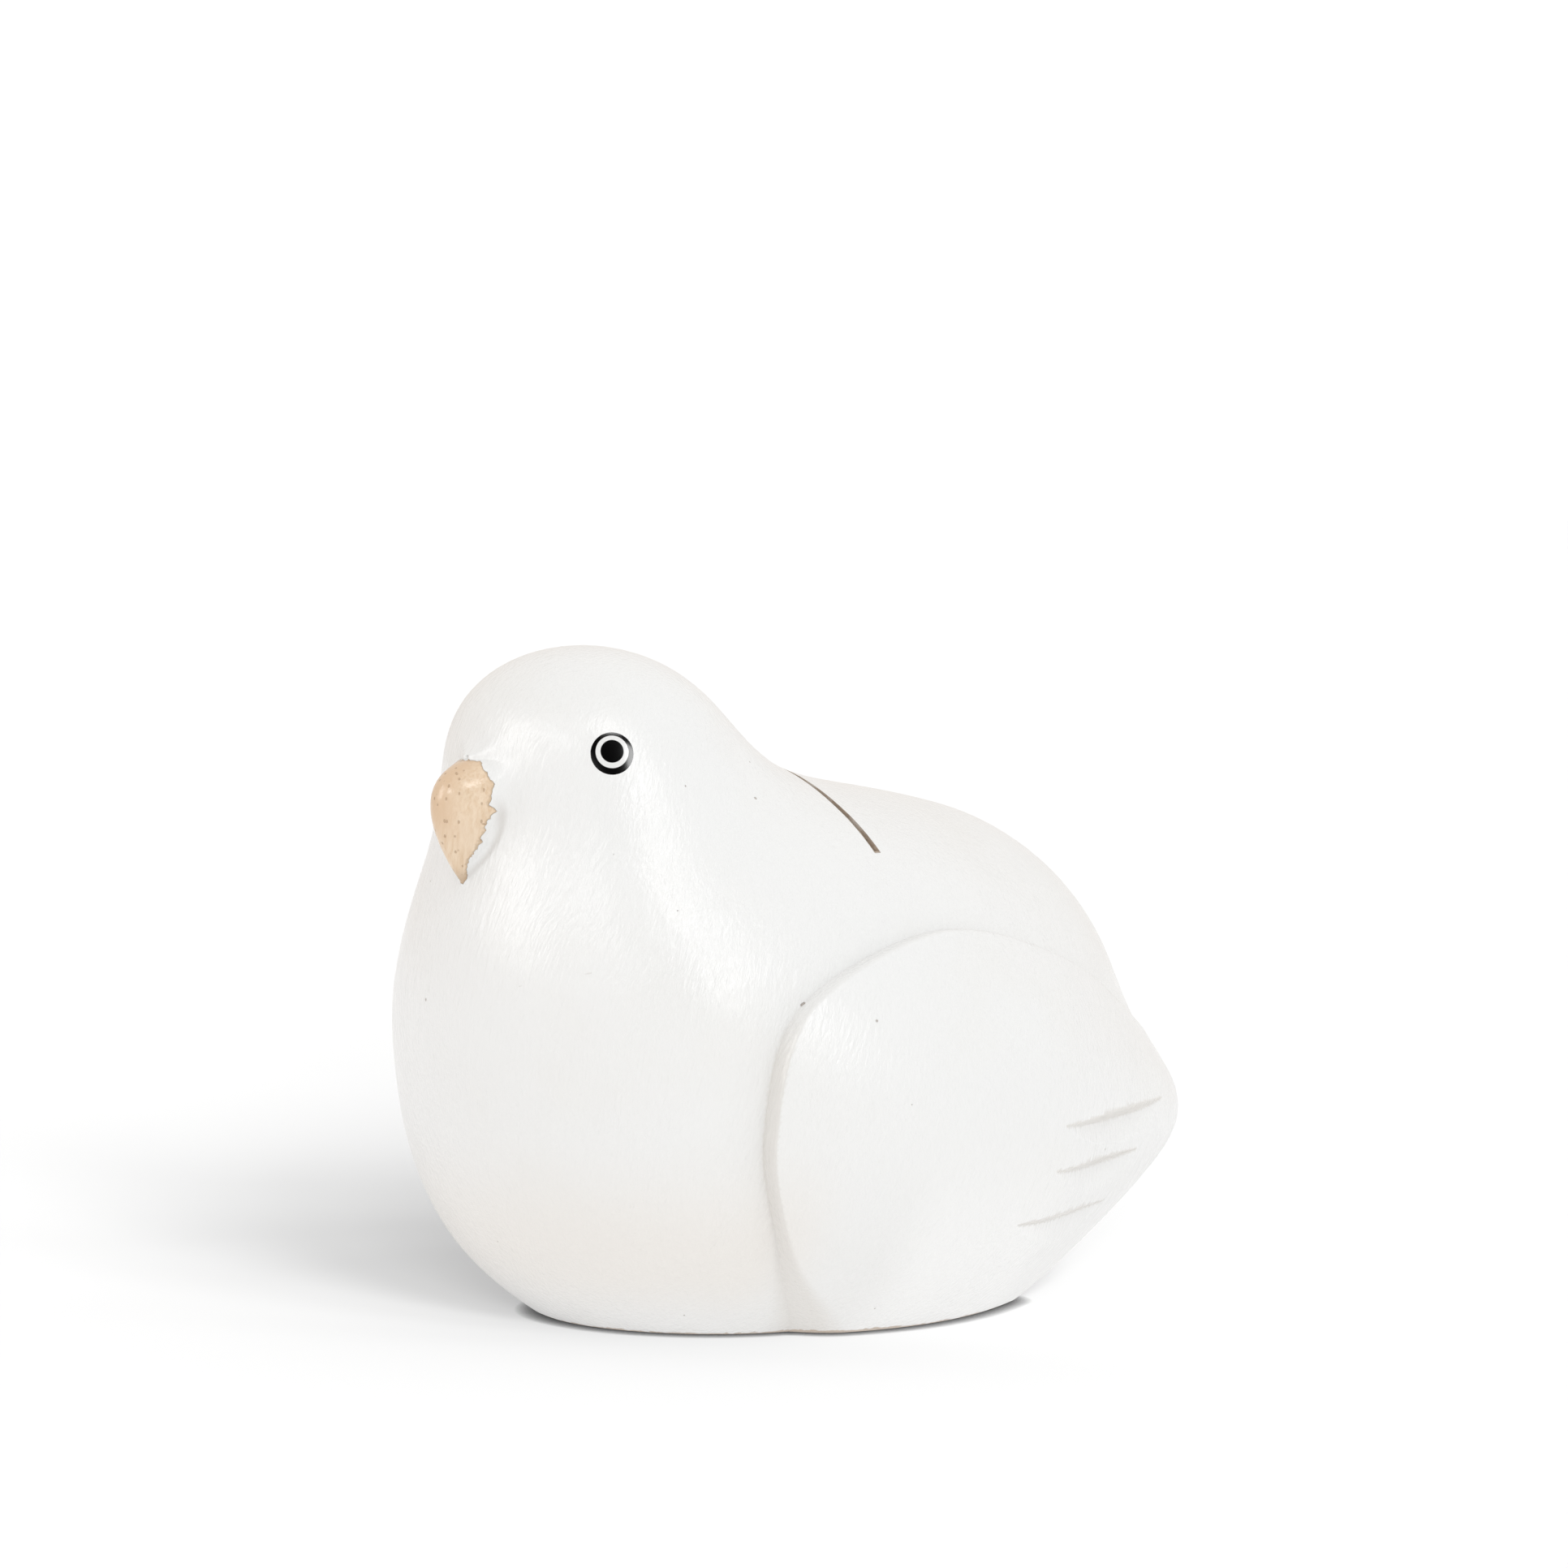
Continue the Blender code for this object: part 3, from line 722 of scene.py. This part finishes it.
def cut_along_creases(mesh):
    """Edges laid along every crisp line: near vertices slide on to it, and edges that cross it are split."""
    for level in range(len(crease_levels(vertex_array(mesh)[:1]))):
        points = vertex_array(mesh)
        value = crease_levels(points)[level][0]
        near = np.abs(value) < slide_reach(points, level)
        points[near] = moved_to_line(points[near], level)
        place_vertices(mesh, points)
        value = np.where(near, 0.0, value)
        mesh.verts.index_update()
        on_line = [vertex for vertex, is_near in zip(mesh.verts, near) if is_near]
        crossing = [
            edge for edge in mesh.edges if value[edge.verts[0].index] * value[edge.verts[1].index] < 0.0
        ]
        added = []
        for edge in crossing:
            first, second = (value[vertex.index] for vertex in edge.verts)
            added.append(bmesh.utils.edge_split(edge, edge.verts[0], first / (first - second))[1])
        places = moved_to_line(np.array([vertex.co[:] for vertex in added]), level)
        for vertex, place in zip(added, places):
            vertex.co = place
        bmesh.ops.connect_verts(mesh, verts=on_line + added)
        bmesh.ops.triangulate(mesh, faces=mesh.faces[:])


def cut_underside(mesh):
    """The bird cut off flat at the floor, with one flat face closing it."""
    for vertex in mesh.verts:
        if abs(vertex.co.z) < FLOOR_SNAP:
            vertex.co.z = 0.0
    whole = mesh.verts[:] + mesh.edges[:] + mesh.faces[:]
    bmesh.ops.bisect_plane(
        mesh, geom=whole, dist=0.5 * FLOOR_SNAP, plane_co=(0, 0, 0), plane_no=(0, 0, 1), clear_inner=True
    )
    rim = [edge for edge in mesh.edges if edge.is_boundary]
    bmesh.ops.edgeloop_fill(mesh, edges=rim)
    bmesh.ops.recalc_face_normals(mesh, faces=mesh.faces[:])


def kerf_cutter():
    """A saw blade's cut: straight across the back, with a level floor and slightly rough walls."""
    mesh = bmesh.new()
    bmesh.ops.create_cube(mesh, size=1.0)
    bmesh.ops.subdivide_edges(mesh, edges=mesh.edges[:], cuts=KERF_CELLS, use_grid_fill=True)
    across = 2.0 * BREAST.half_width
    high = KERF_TOP_UP - KERF_FLOOR_UP
    bmesh.ops.scale(mesh, vec=(across, KERF_WIDTH, high), verts=mesh.verts[:])
    bmesh.ops.translate(mesh, vec=(0.0, -KERF_FORWARD, KERF_FLOOR_UP + 0.5 * high), verts=mesh.verts[:])
    for vertex in mesh.verts:
        if vertex.co.z > KERF_FLOOR_UP + 0.1 * MM:
            vertex.co.y += KERF_ROUGHNESS * noise.noise(vertex.co / (1.5 * MM))
    data = bpy.data.meshes.new("kerf_cutter")
    mesh.to_mesh(data)
    mesh.free()
    cutter = bpy.data.objects.new("kerf_cutter", data)
    bpy.context.collection.objects.link(cutter)
    return cutter


def saw_kerf(figure):
    """The kerf cut out of the figure's own mesh."""
    kerf = figure.modifiers.new("kerf", "BOOLEAN")
    kerf.operation = "DIFFERENCE"
    kerf.object = kerf_cutter()
    cut = bpy.data.meshes.new_from_object(figure.evaluated_get(bpy.context.evaluated_depsgraph_get()))
    cutter = kerf.object
    figure.modifiers.remove(kerf)
    figure.data = cut
    bpy.data.objects.remove(cutter, do_unlink=True)


def paint_eyes(data):
    """The faces inside the eyes' outlines take the second material."""
    for polygon in data.polygons:
        outside = eye_distance(np.array([polygon.center[:]]))[0]
        polygon.material_index = 1 if outside < 0.0 else 0


def smooth_but_for_edges(data):
    """Smooth light over the figure, but for the kerf's edges and the edge round the underside."""
    data.shade_smooth()
    data.set_sharp_from_angle(angle=math.radians(SHARP_ANGLE))
    for edge in data.edges:
        if all(data.vertices[index].co.z < FLOOR_SNAP for index in edge.vertices):
            edge.use_edge_sharp = True


def node(tree, kind, inputs=None, **settings):
    """A shader node with its settings, and each input set to a value or joined to another node's output."""
    made = tree.nodes.new("ShaderNode" + kind)
    for name, value in settings.items():
        setattr(made, name, value)
    for key, value in (inputs or {}).items():
        if isinstance(value, bpy.types.NodeSocket):
            tree.links.new(value, made.inputs[key])
        else:
            made.inputs[key].default_value = value
    return made


def maths(tree, operation, *values, clamp=False):
    """One step of arithmetic on numbers or other nodes' outputs."""
    made = node(tree, "Math", dict(enumerate(values)), operation=operation, use_clamp=clamp)
    return made.outputs[0]


def product(tree, *values):
    """All of the values multiplied."""
    result = values[0]
    for value in values[1:]:
        result = maths(tree, "MULTIPLY", result, value)
    return result


def ramp(tree, value, low, high, to_low=0.0, to_high=1.0):
    """A soft step from to_low, where value is low, to to_high, where it is high."""
    made = node(
        tree,
        "MapRange",
        {"Value": value, "From Min": low, "From Max": high, "To Min": to_low, "To Max": to_high},
        interpolation_type="SMOOTHSTEP",
    )
    return made.outputs["Result"]


def mixed(tree, share, first, second):
    """A colour between first and second."""
    made = node(tree, "Mix", data_type="RGBA")
    for key, value in (("Factor_Float", share), ("A_Color", first), ("B_Color", second)):
        socket = next(s for s in made.inputs if s.identifier == key)
        if isinstance(value, bpy.types.NodeSocket):
            tree.links.new(value, socket)
        else:
            socket.default_value = value
    return next(s for s in made.outputs if s.identifier == "Result_Color")


def tinted(tree, colour, share, tint, other):
    """The colour with another laid over it, as strong as the tint at most."""
    return mixed(tree, product(tree, share, tint), colour, other)


def noise_value(tree, place, scale, detail=2.0, roughness=0.5, distortion=0.0):
    """Soft noise between 0 and 1."""
    inputs = {
        "Vector": place,
        "Scale": scale,
        "Detail": detail,
        "Roughness": roughness,
        "Distortion": distortion,
    }
    return node(tree, "TexNoise", inputs).outputs["Fac"]


def stretched(tree, place, size, turn=(0.0, 0.0, 0.0)):
    """The place as a texture reads it whose features have that size along their own turned axes."""
    angles = [math.radians(angle) for angle in turn]
    inputs = {"Vector": place, "Rotation": angles, "Scale": size}
    return node(tree, "Mapping", inputs, vector_type="TEXTURE").outputs["Vector"]


def millimetres(tree):
    """The place on the figure in millimetres, its side as a distance, and its parts."""
    place = node(tree, "TexCoord").outputs["Object"]
    place = node(tree, "VectorMath", {0: place, "Scale": 1.0 / MM}, operation="SCALE").outputs[0]
    parts = node(tree, "SeparateXYZ", {0: place})
    forward = maths(tree, "MULTIPLY", parts.outputs["Y"], -1.0)
    side = maths(tree, "ABSOLUTE", parts.outputs["X"])
    return place, forward, side, parts.outputs["Z"]


def line_distance(tree, place, line):
    """How far each place is from a straight line between two points."""
    start, end = (Vector(point) for point in line)
    run = end - start
    from_start = node(tree, "VectorMath", {0: place, 1: start}, operation="SUBTRACT").outputs[0]
    along = node(tree, "VectorMath", {0: from_start, 1: run / run.length_squared}, operation="DOT_PRODUCT")
    along = maths(tree, "ADD", along.outputs["Value"], 0.0, clamp=True)
    nearest = node(tree, "VectorMath", {0: run, "Scale": along}, operation="SCALE").outputs[0]
    reach = node(tree, "VectorMath", {0: from_start, 1: nearest}, operation="DISTANCE")
    return reach.outputs["Value"]


def marks(tree, place):
    """1 in the pinholes and the nick, and 1 on the scratch."""
    holes = ramp(tree, line_distance(tree, place, SHOULDER_NICK), *NICK_EDGE)
    for spot in PINHOLE_PLACES:
        reach = node(tree, "VectorMath", {0: place, 1: spot}, operation="DISTANCE").outputs["Value"]
        hole = ramp(tree, reach, PINHOLE_RADIUS + PINHOLE_SOFTNESS, PINHOLE_RADIUS - PINHOLE_SOFTNESS)
        holes = maths(tree, "MAXIMUM", holes, hole)
    scratch = ramp(tree, line_distance(tree, place, SCRATCH), *SCRATCH_EDGE)
    return holes, scratch


def side_profile(tree, up, knots):
    """How far to the side a line through the knots (up, to the side) is at each height, in millimetres."""
    bottom, top = knots[0][0], knots[-1][0]
    height = node(tree, "MapRange", {"Value": up, "From Min": bottom, "From Max": top}).outputs["Result"]
    curve = node(tree, "FloatCurve", {"Value": height})
    points = curve.mapping.curves[0].points
    for rise, width in knots[1:-1]:
        points.new((rise - bottom) / (top - bottom), width / WIDEST_PROFILE)
    points[0].location = (0.0, knots[0][1] / WIDEST_PROFILE)
    points[len(points) - 1].location = (1.0, knots[-1][1] / WIDEST_PROFILE)
    for point in points:
        point.handle_type = "VECTOR"
    curve.mapping.update()
    return maths(tree, "MULTIPLY", curve.outputs["Value"], WIDEST_PROFILE)


def beak_crease_shade(tree, forward, side, up):
    """1 in the painted shade of the soft crease beside the beak."""
    bottom, top = BEAK_CREASE[0][0], BEAK_CREASE[-1][0]
    away = maths(tree, "ABSOLUTE", maths(tree, "SUBTRACT", side, side_profile(tree, up, BEAK_CREASE)))
    return product(
        tree,
        ramp(tree, away, CREASE_WIDTH, 0.0),
        ramp(tree, up, top, CREASE_FULL_BELOW),
        ramp(tree, up, bottom - 0.6, bottom),
        ramp(tree, forward, BARE_BEHIND - 1.0, BARE_BEHIND),
    )


def bare_beak(tree, place, forward, side, up):
    """How far inside the bare patch on the beak each place is, in millimetres, negative on the paint."""
    bottom, top = BARE_PATCH[0][0], BARE_PATCH[-1][0]
    inside = maths(tree, "SUBTRACT", side_profile(tree, up, BARE_PATCH), side)
    for edge in ((top, up), (up, bottom), (forward, BARE_BEHIND)):
        inside = maths(tree, "MINIMUM", inside, maths(tree, "SUBTRACT", *edge))
    crumbs = maths(tree, "SUBTRACT", noise_value(tree, place, CRUMB_SCALE), 0.5)
    return maths(tree, "ADD", inside, product(tree, crumbs, CRUMB_REACH))


def in_kerf(tree, forward, up):
    """1 on the walls and the floor of the kerf."""
    off_middle = maths(tree, "ABSOLUTE", maths(tree, "SUBTRACT", forward, KERF_FORWARD / MM))
    beside = ramp(tree, off_middle, 0.5 * KERF_WIDTH / MM + 0.1, 0.5 * KERF_WIDTH / MM)
    above = ramp(tree, up, KERF_FLOOR_UP / MM - 0.15, KERF_FLOOR_UP / MM - 0.05)
    return maths(tree, "MULTIPLY", beside, above)


def bare_wood(tree, place, up, off_paint, beak):
    """The colour of the bare wood, with painted shade towards the beak's middle, and how high it stands."""
    grain = noise_value(tree, stretched(tree, place, GRAIN_SIZE, GRAIN_TURN), GRAIN_SCALE, 4.0, 0.62, 0.3)
    patches = noise_value(tree, place, PATCHES_SCALE)
    tone = maths(tree, "ADD", product(tree, grain, GRAIN_SHARE), product(tree, patches, PATCHES_SHARE))
    colour = mixed(tree, ramp(tree, tone, *WOOD_TONES), WOOD_LIGHT, WOOD_DARK)
    # Painted shade: the bare wood darker towards the beak's middle and far side, which face away from the
    # light
    across = maths(tree, "ADD", node(tree, "SeparateXYZ", {0: place}).outputs["X"], patches)
    flank_shade = product(tree, ramp(tree, across, *FLANK_ACROSS), ramp(tree, up, *FLANK_UP))
    colour = tinted(tree, colour, flank_shade, FLANK_SHADE_TINT, WOOD_FLANK_SHADE)
    crack = ramp(tree, line_distance(tree, place, BEAK_CRACK), *CRACK_EDGE)
    colour = tinted(tree, colour, crack, CRACK_TINT, WOOD_PORE)
    colour = tinted(tree, colour, ramp(tree, up, *WORN_TIP_UP), WORN_TIP_TINT, PAINT_EDGE)
    pores = node(tree, "TexVoronoi", {"Vector": stretched(tree, place, PORE_SIZE), "Scale": PORE_SCALE})
    pore = ramp(tree, pores.outputs["Distance"], *PORE_EDGE)
    colour = tinted(tree, colour, pore, PORE_TINT, WOOD_PORE)
    brink = product(tree, ramp(tree, off_paint, *PATCH_BRINK), beak)
    colour = tinted(tree, colour, brink, BRINK_TINT, PAINT_EDGE)
    height = maths(tree, "SUBTRACT", product(tree, grain, GRAIN_HEIGHT), product(tree, pore, PORE_DEPTH))
    return colour, maths(tree, "SUBTRACT", height, PAINT_THICKNESS)


def worn_rim(tree, place, forward, up):
    """1 where the paint is worn off above the underside's edge, a little farther up by the groove."""
    breaks = noise_value(tree, place, RIM_SCALE, 4.0, 0.6)
    height = ramp(tree, breaks, *RIM_BREAKS, *RIM_WORN_UP)
    by_groove = product(tree, ramp(tree, forward, *GROOVE_REAR), ramp(tree, forward, *GROOVE_FRONT))
    height = maths(tree, "ADD", height, product(tree, by_groove, GROOVE_WORN_UP))
    return ramp(tree, maths(tree, "SUBTRACT", height, up), 0.0, RIM_SOFTNESS)


def brush_strokes(tree, place):
    """The height of the brush strokes and of the paint's soft ripples."""
    drift = node(tree, "TexNoise", {"Vector": place, "Scale": DRIFT_SCALE, "Detail": 1.0}).outputs["Color"]
    drift = node(tree, "VectorMath", {0: drift, "Scale": STROKE_DRIFT}, operation="SCALE").outputs[0]
    brushed = node(tree, "VectorMath", {0: place, 1: drift}, operation="ADD").outputs[0]
    strokes = noise_value(tree, stretched(tree, brushed, STROKE_SIZE, STROKE_TURN), STROKE_SCALE, 3.0, 0.6)
    ripples = noise_value(tree, place, RIPPLE_SCALE)
    return maths(tree, "ADD", product(tree, strokes, STROKE_HEIGHT), product(tree, ripples, RIPPLE_HEIGHT))


def white_paint(tree, place, forward, side, up):
    """The colour of the paint, with its worn and marked places, its painted shade and painted light, and how
    high it stands.
    """
    blotches = noise_value(tree, place, BLOTCH_SCALE, 3.0)
    colour = mixed(tree, ramp(tree, blotches, *BLOTCH_EDGE), PAINT, PAINT_WARM)
    # Painted shade low on the breast, darker and warmer towards the bottom
    low_breast_shade = product(
        tree,
        ramp(tree, up, *LOW_BREAST_UP),
        ramp(tree, forward, *LOW_BREAST_FORWARD),
        ramp(tree, up, *LOW_BREAST_FOOT, LOW_BREAST_FOOT_TINT, 1.0),
    )
    colour = mixed(tree, low_breast_shade, colour, PAINTED_LOW_SHADE)
    # Painted light low on the wing, standing in for the floor's bounce
    low_wing_light = product(
        tree,
        ramp(tree, up, *LOW_WING_UP),
        ramp(tree, forward, *LOW_WING_FRONT),
        ramp(tree, forward, *LOW_WING_REAR),
    )
    colour = mixed(tree, low_wing_light, colour, PAINTED_BOUNCE_LIGHT)
    # Painted shade in the crease beside the beak
    colour = tinted(tree, colour, beak_crease_shade(tree, forward, side, up), CREASE_SHADE_TINT, PINHOLE_AND_CREASE_SHADE)
    # Painted shade on the carving's walls, full low down and faint near the lit top
    wall = node(tree, "Attribute", attribute_name="painted_wall_shade").outputs["Fac"]
    wall_shade_tint = ramp(tree, up, *WALL_SHADE_UP, WALL_SHADE_ABOVE, 1.0)
    colour = tinted(tree, colour, wall, wall_shade_tint, PAINTED_WALL_SHADE)
    colour = tinted(tree, colour, worn_rim(tree, place, forward, up), RIM_TINT, WORN_RIM)
    scattered = node(tree, "TexVoronoi", {"Vector": place, "Scale": HOLE_SCALE, "Randomness": 1.0})
    placed, scratch = marks(tree, place)
    hole = maths(tree, "MAXIMUM", ramp(tree, scattered.outputs["Distance"], *HOLE_EDGE), placed)
    colour = tinted(tree, colour, hole, HOLE_TINT, PINHOLE_AND_CREASE_SHADE)
    colour = tinted(tree, colour, scratch, SCRATCH_TINT, PINHOLE_AND_CREASE_SHADE)
    return colour, maths(tree, "SUBTRACT", brush_strokes(tree, place), product(tree, hole, HOLE_DEPTH))


def painted_wood():
    """White paint brushed over carved wood, and the bare wood where there is none."""
    material = bpy.data.materials.new("painted_wood")
    material.use_nodes = True
    tree = material.node_tree
    shader = tree.nodes["Principled BSDF"]
    place, forward, side, up = millimetres(tree)

    off_paint = bare_beak(tree, place, forward, side, up)
    beak = ramp(tree, off_paint, *PATCH_EDGE)
    kerf = in_kerf(tree, forward, up)
    wood = maths(tree, "MAXIMUM", maths(tree, "MAXIMUM", beak, kerf), ramp(tree, up, *UNDERSIDE_EDGE))
    wood_colour, wood_height = bare_wood(tree, place, up, off_paint, beak)
    wood_colour = mixed(tree, kerf, wood_colour, KERF_WOOD)
    paint_colour, paint_height = white_paint(tree, place, forward, side, up)

    tree.links.new(mixed(tree, wood, paint_colour, wood_colour), shader.inputs["Base Color"])
    roughness = ramp(tree, wood, 0.0, 1.0, PAINT_ROUGHNESS, WOOD_ROUGHNESS)
    tree.links.new(roughness, shader.inputs["Roughness"])
    height = node(tree, "Mix", {"Factor": wood, "A": paint_height, "B": wood_height}).outputs["Result"]
    bump = node(tree, "Bump", {"Height": height, "Distance": MM, "Strength": 1.0})
    tree.links.new(bump.outputs["Normal"], shader.inputs["Normal"])
    return material


def eye_paint():
    """A glossy black disc with a white ring in it."""
    material = bpy.data.materials.new("eye_paint")
    material.use_nodes = True
    tree = material.node_tree
    shader = tree.nodes["Principled BSDF"]
    place, forward, side, up = millimetres(tree)
    mirrored = node(tree, "CombineXYZ", {"X": side, "Y": forward, "Z": up}).outputs[0]

    def disc(radius, rise):
        """1 within that radius of a point so far above the eye's middle."""
        middle = (EYE_SIDE / MM, EYE_FORWARD / MM, (EYE_UP + rise) / MM)
        reach = node(tree, "VectorMath", {0: mirrored, 1: middle}, operation="DISTANCE").outputs["Value"]
        return ramp(tree, reach, radius / MM + 0.03, radius / MM - 0.03)

    white = maths(tree, "SUBTRACT", disc(EYE_WHITE_RADIUS, EYE_WHITE_RISE), disc(PUPIL_RADIUS, PUPIL_RISE))
    tree.links.new(mixed(tree, white, EYE_BLACK, EYE_WHITE), shader.inputs["Base Color"])
    shader.inputs["Roughness"].default_value = EYE_ROUGHNESS
    return material


def make_pigeon():
    """The carved and painted figure, which stands for the plain solid."""
    mesh = refined_sphere()
    cut_along_creases(mesh)
    points = vertex_array(mesh)
    # How strongly shade is painted at each vertex on the carving's walls
    wall = mesh.verts.layers.float.new("painted_wall_shade")
    for vertex, value in zip(mesh.verts, wall_shade_strength(points)):
        vertex[wall] = value
    place_vertices(mesh, carved(points))
    cut_underside(mesh)
    data = bpy.data.meshes.new("painted_pigeon")
    mesh.to_mesh(data)
    mesh.free()
    figure = bpy.data.objects.new("painted_pigeon", data)
    bpy.context.collection.objects.link(figure)
    figure.data.materials.append(painted_wood())
    figure.data.materials.append(eye_paint())
    paint_eyes(figure.data)
    saw_kerf(figure)
    smooth_but_for_edges(figure.data)
    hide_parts("pigeon")
    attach(figure, "root")
    return figure


def direction(azimuth, elevation):
    """The direction towards an azimuth, in degrees from the bird's front towards its left."""
    a, e = math.radians(azimuth), math.radians(elevation)
    return Vector((math.sin(a) * math.cos(e), -math.cos(a) * math.cos(e), math.sin(e)))


def make_camera():
    """A long lens from the bird's left front, a little above it, aimed so that the bird stands low."""
    towards = direction(CAMERA_AZIMUTH, CAMERA_ELEVATION)
    focal_pixels = PIXELS_PER_METRE * CAMERA_DISTANCE
    right = (-towards).cross(Vector((0, 0, 1))).normalized()
    above = right.cross(-towards)
    off_right = (TARGET_COLUMN - 0.5 * IMAGE_SIZE) / focal_pixels
    off_down = (TARGET_ROW - 0.5 * IMAGE_SIZE) / focal_pixels
    axis = (-towards - off_right * right + off_down * above).normalized()
    right = axis.cross(Vector((0, 0, 1))).normalized()
    above = right.cross(axis)
    lens = bpy.data.cameras.new("camera")
    lens.sensor_width = SENSOR_WIDTH
    lens.lens = focal_pixels / IMAGE_SIZE * SENSOR_WIDTH
    lens.clip_start = 0.01
    lens.clip_end = 50.0
    camera = bpy.data.objects.new("camera", lens)
    turn = Matrix((right, above, -axis)).transposed().to_4x4()
    camera.matrix_world = Matrix.Translation(CAMERA_TARGET + towards * CAMERA_DISTANCE) @ turn
    bpy.context.collection.objects.link(camera)
    bpy.context.scene.camera = camera


def shaded_floor():
    """White, with a thin dark shade under the bird's edge and a faint one in front of it."""
    material = bpy.data.materials.new("floor")
    material.use_nodes = True
    tree = material.node_tree
    shader = tree.nodes["Principled BSDF"]
    shader.inputs["Roughness"].default_value = 1.0
    shader.inputs["Specular IOR Level"].default_value = 0.0
    shader.inputs["Emission Color"].default_value = (1.0, 1.0, 1.0, 1.0)
    place = node(tree, "TexCoord").outputs["Object"]
    towards_front = tuple(direction(NEARBY_FRONT, 0.0))
    front = node(tree, "VectorMath", {0: place, 1: towards_front}, operation="DOT_PRODUCT").outputs["Value"]
    nearby_shade = ramp(tree, front, *NEARBY_BEGINS, 0.0, NEARBY_SHADE)
    seen = node(tree, "LightPath").outputs["Is Camera Ray"]
    light = 1.0
    for reach, shade in ((CONTACT_REACH, CONTACT_SHADE), (NEARBY_REACH, nearby_shade)):
        open_sky = node(tree, "AmbientOcclusion", {"Distance": reach}, samples=2).outputs["AO"]
        lost = product(tree, maths(tree, "SUBTRACT", 1.0, open_sky), shade, seen)
        light = product(tree, light, maths(tree, "SUBTRACT", 1.0, lost))
    tree.links.new(product(tree, light, FLOOR_ALBEDO), shader.inputs["Base Color"])
    tree.links.new(product(tree, light, FLOOR_GLOW), shader.inputs["Emission Strength"])
    return material


def make_floor():
    """A wide white disc for the bird to stand on."""
    mesh = bmesh.new()
    bmesh.ops.create_circle(mesh, cap_ends=True, segments=64, radius=FLOOR_RADIUS)
    data = bpy.data.meshes.new("floor")
    mesh.to_mesh(data)
    mesh.free()
    floor = bpy.data.objects.new("floor", data)
    floor.location.z = -FLOOR_DROP
    bpy.context.collection.objects.link(floor)
    data.materials.append(shaded_floor())
    return floor


def add_light(name, light, azimuth, elevation, distance):
    """A lamp at that direction and distance from the bird, aimed at it."""
    lamp = bpy.data.objects.new(name, light)
    towards = direction(azimuth, elevation)
    lamp.location = CAMERA_TARGET + towards * distance
    lamp.rotation_euler = towards.to_track_quat("Z", "Y").to_euler()
    bpy.context.collection.objects.link(lamp)
    return lamp


def make_key(floor):
    """The large window-like light whose shadow falls to the left and back on the white floor."""
    lit = bpy.data.collections.new("lit_by_key")
    lit.objects.link(floor)
    for azimuth, elevation, share in KEY_PANES:
        light = bpy.data.lights.new("key", "SUN")
        light.energy = share / FLOOR_ALBEDO * math.pi / math.sin(math.radians(elevation))
        light.angle = math.radians(KEY_SPREAD)
        key = add_light("key", light, azimuth, elevation, KEY_DISTANCE)
        key.light_linking.receiver_collection = lit


def make_softbox(name, azimuth, elevation, roll, width, height, radiance):
    """A softbox that shows only as a highlight, rolled about its own axis."""
    light = bpy.data.lights.new(name, "AREA")
    light.shape = "RECTANGLE"
    light.size = width
    light.size_y = height
    light.energy = radiance * math.pi * width * height
    box = add_light(name, light, azimuth, elevation, SOFTBOX_DISTANCE)
    box.rotation_euler.rotate_axis("Z", math.radians(roll))
    box.visible_camera = False
    box.visible_diffuse = False


def make_world():
    """White to the camera, and a soft white room for the figure."""
    world = bpy.data.worlds.new("studio")
    world.use_nodes = True
    tree = world.node_tree
    tree.nodes.clear()
    ray = node(tree, "TexCoord").outputs["Generated"]

    def facing(azimuth, elevation):
        """The cosine of each ray's angle from that direction."""
        towards = tuple(direction(azimuth, elevation))
        return node(tree, "VectorMath", {0: ray, 1: towards}, operation="DOT_PRODUCT").outputs["Value"]

    room = node(tree, "CombineXYZ", dict(enumerate(ROOM))).outputs[0]
    for azimuth, elevation, colour in ROOM_SIDES:
        share = maths(tree, "MAXIMUM", facing(azimuth, elevation), 0.0)
        glow = node(tree, "VectorMath", {0: colour, "Scale": share}, operation="SCALE").outputs[0]
        room = node(tree, "VectorMath", {0: room, 1: glow}, operation="ADD").outputs[0]
    wide, narrow = (math.cos(math.radians(angle)) for angle in GAP_EDGE)
    shine = ramp(tree, facing(GAP_AZIMUTH, GAP_ELEVATION), wide, narrow, ROOM_IN_REFLECTIONS, GAP_SHINE)
    path = node(tree, "LightPath")
    in_mirror = path.outputs["Is Glossy Ray"]
    strength = node(tree, "Mix", {"Factor": in_mirror, "A": 1.0, "B": shine}).outputs["Result"]
    lit = node(tree, "Background", {"Color": room, "Strength": strength})
    seen = node(tree, "Background", {"Color": (1.0, 1.0, 1.0, 1.0), "Strength": BACKDROP_WHITE})
    mix = node(tree, "MixShader", {0: path.outputs["Is Camera Ray"], 1: lit.outputs[0], 2: seen.outputs[0]})
    out = node(tree, "OutputWorld")
    tree.links.new(mix.outputs[0], out.inputs["Surface"])
    bpy.context.scene.world = world


make_camera()
make_world()
make_key(make_floor())
for softbox in SOFTBOXES:
    make_softbox(*softbox)
make_pigeon()

bpy.context.scene.view_settings.view_transform = "Standard"
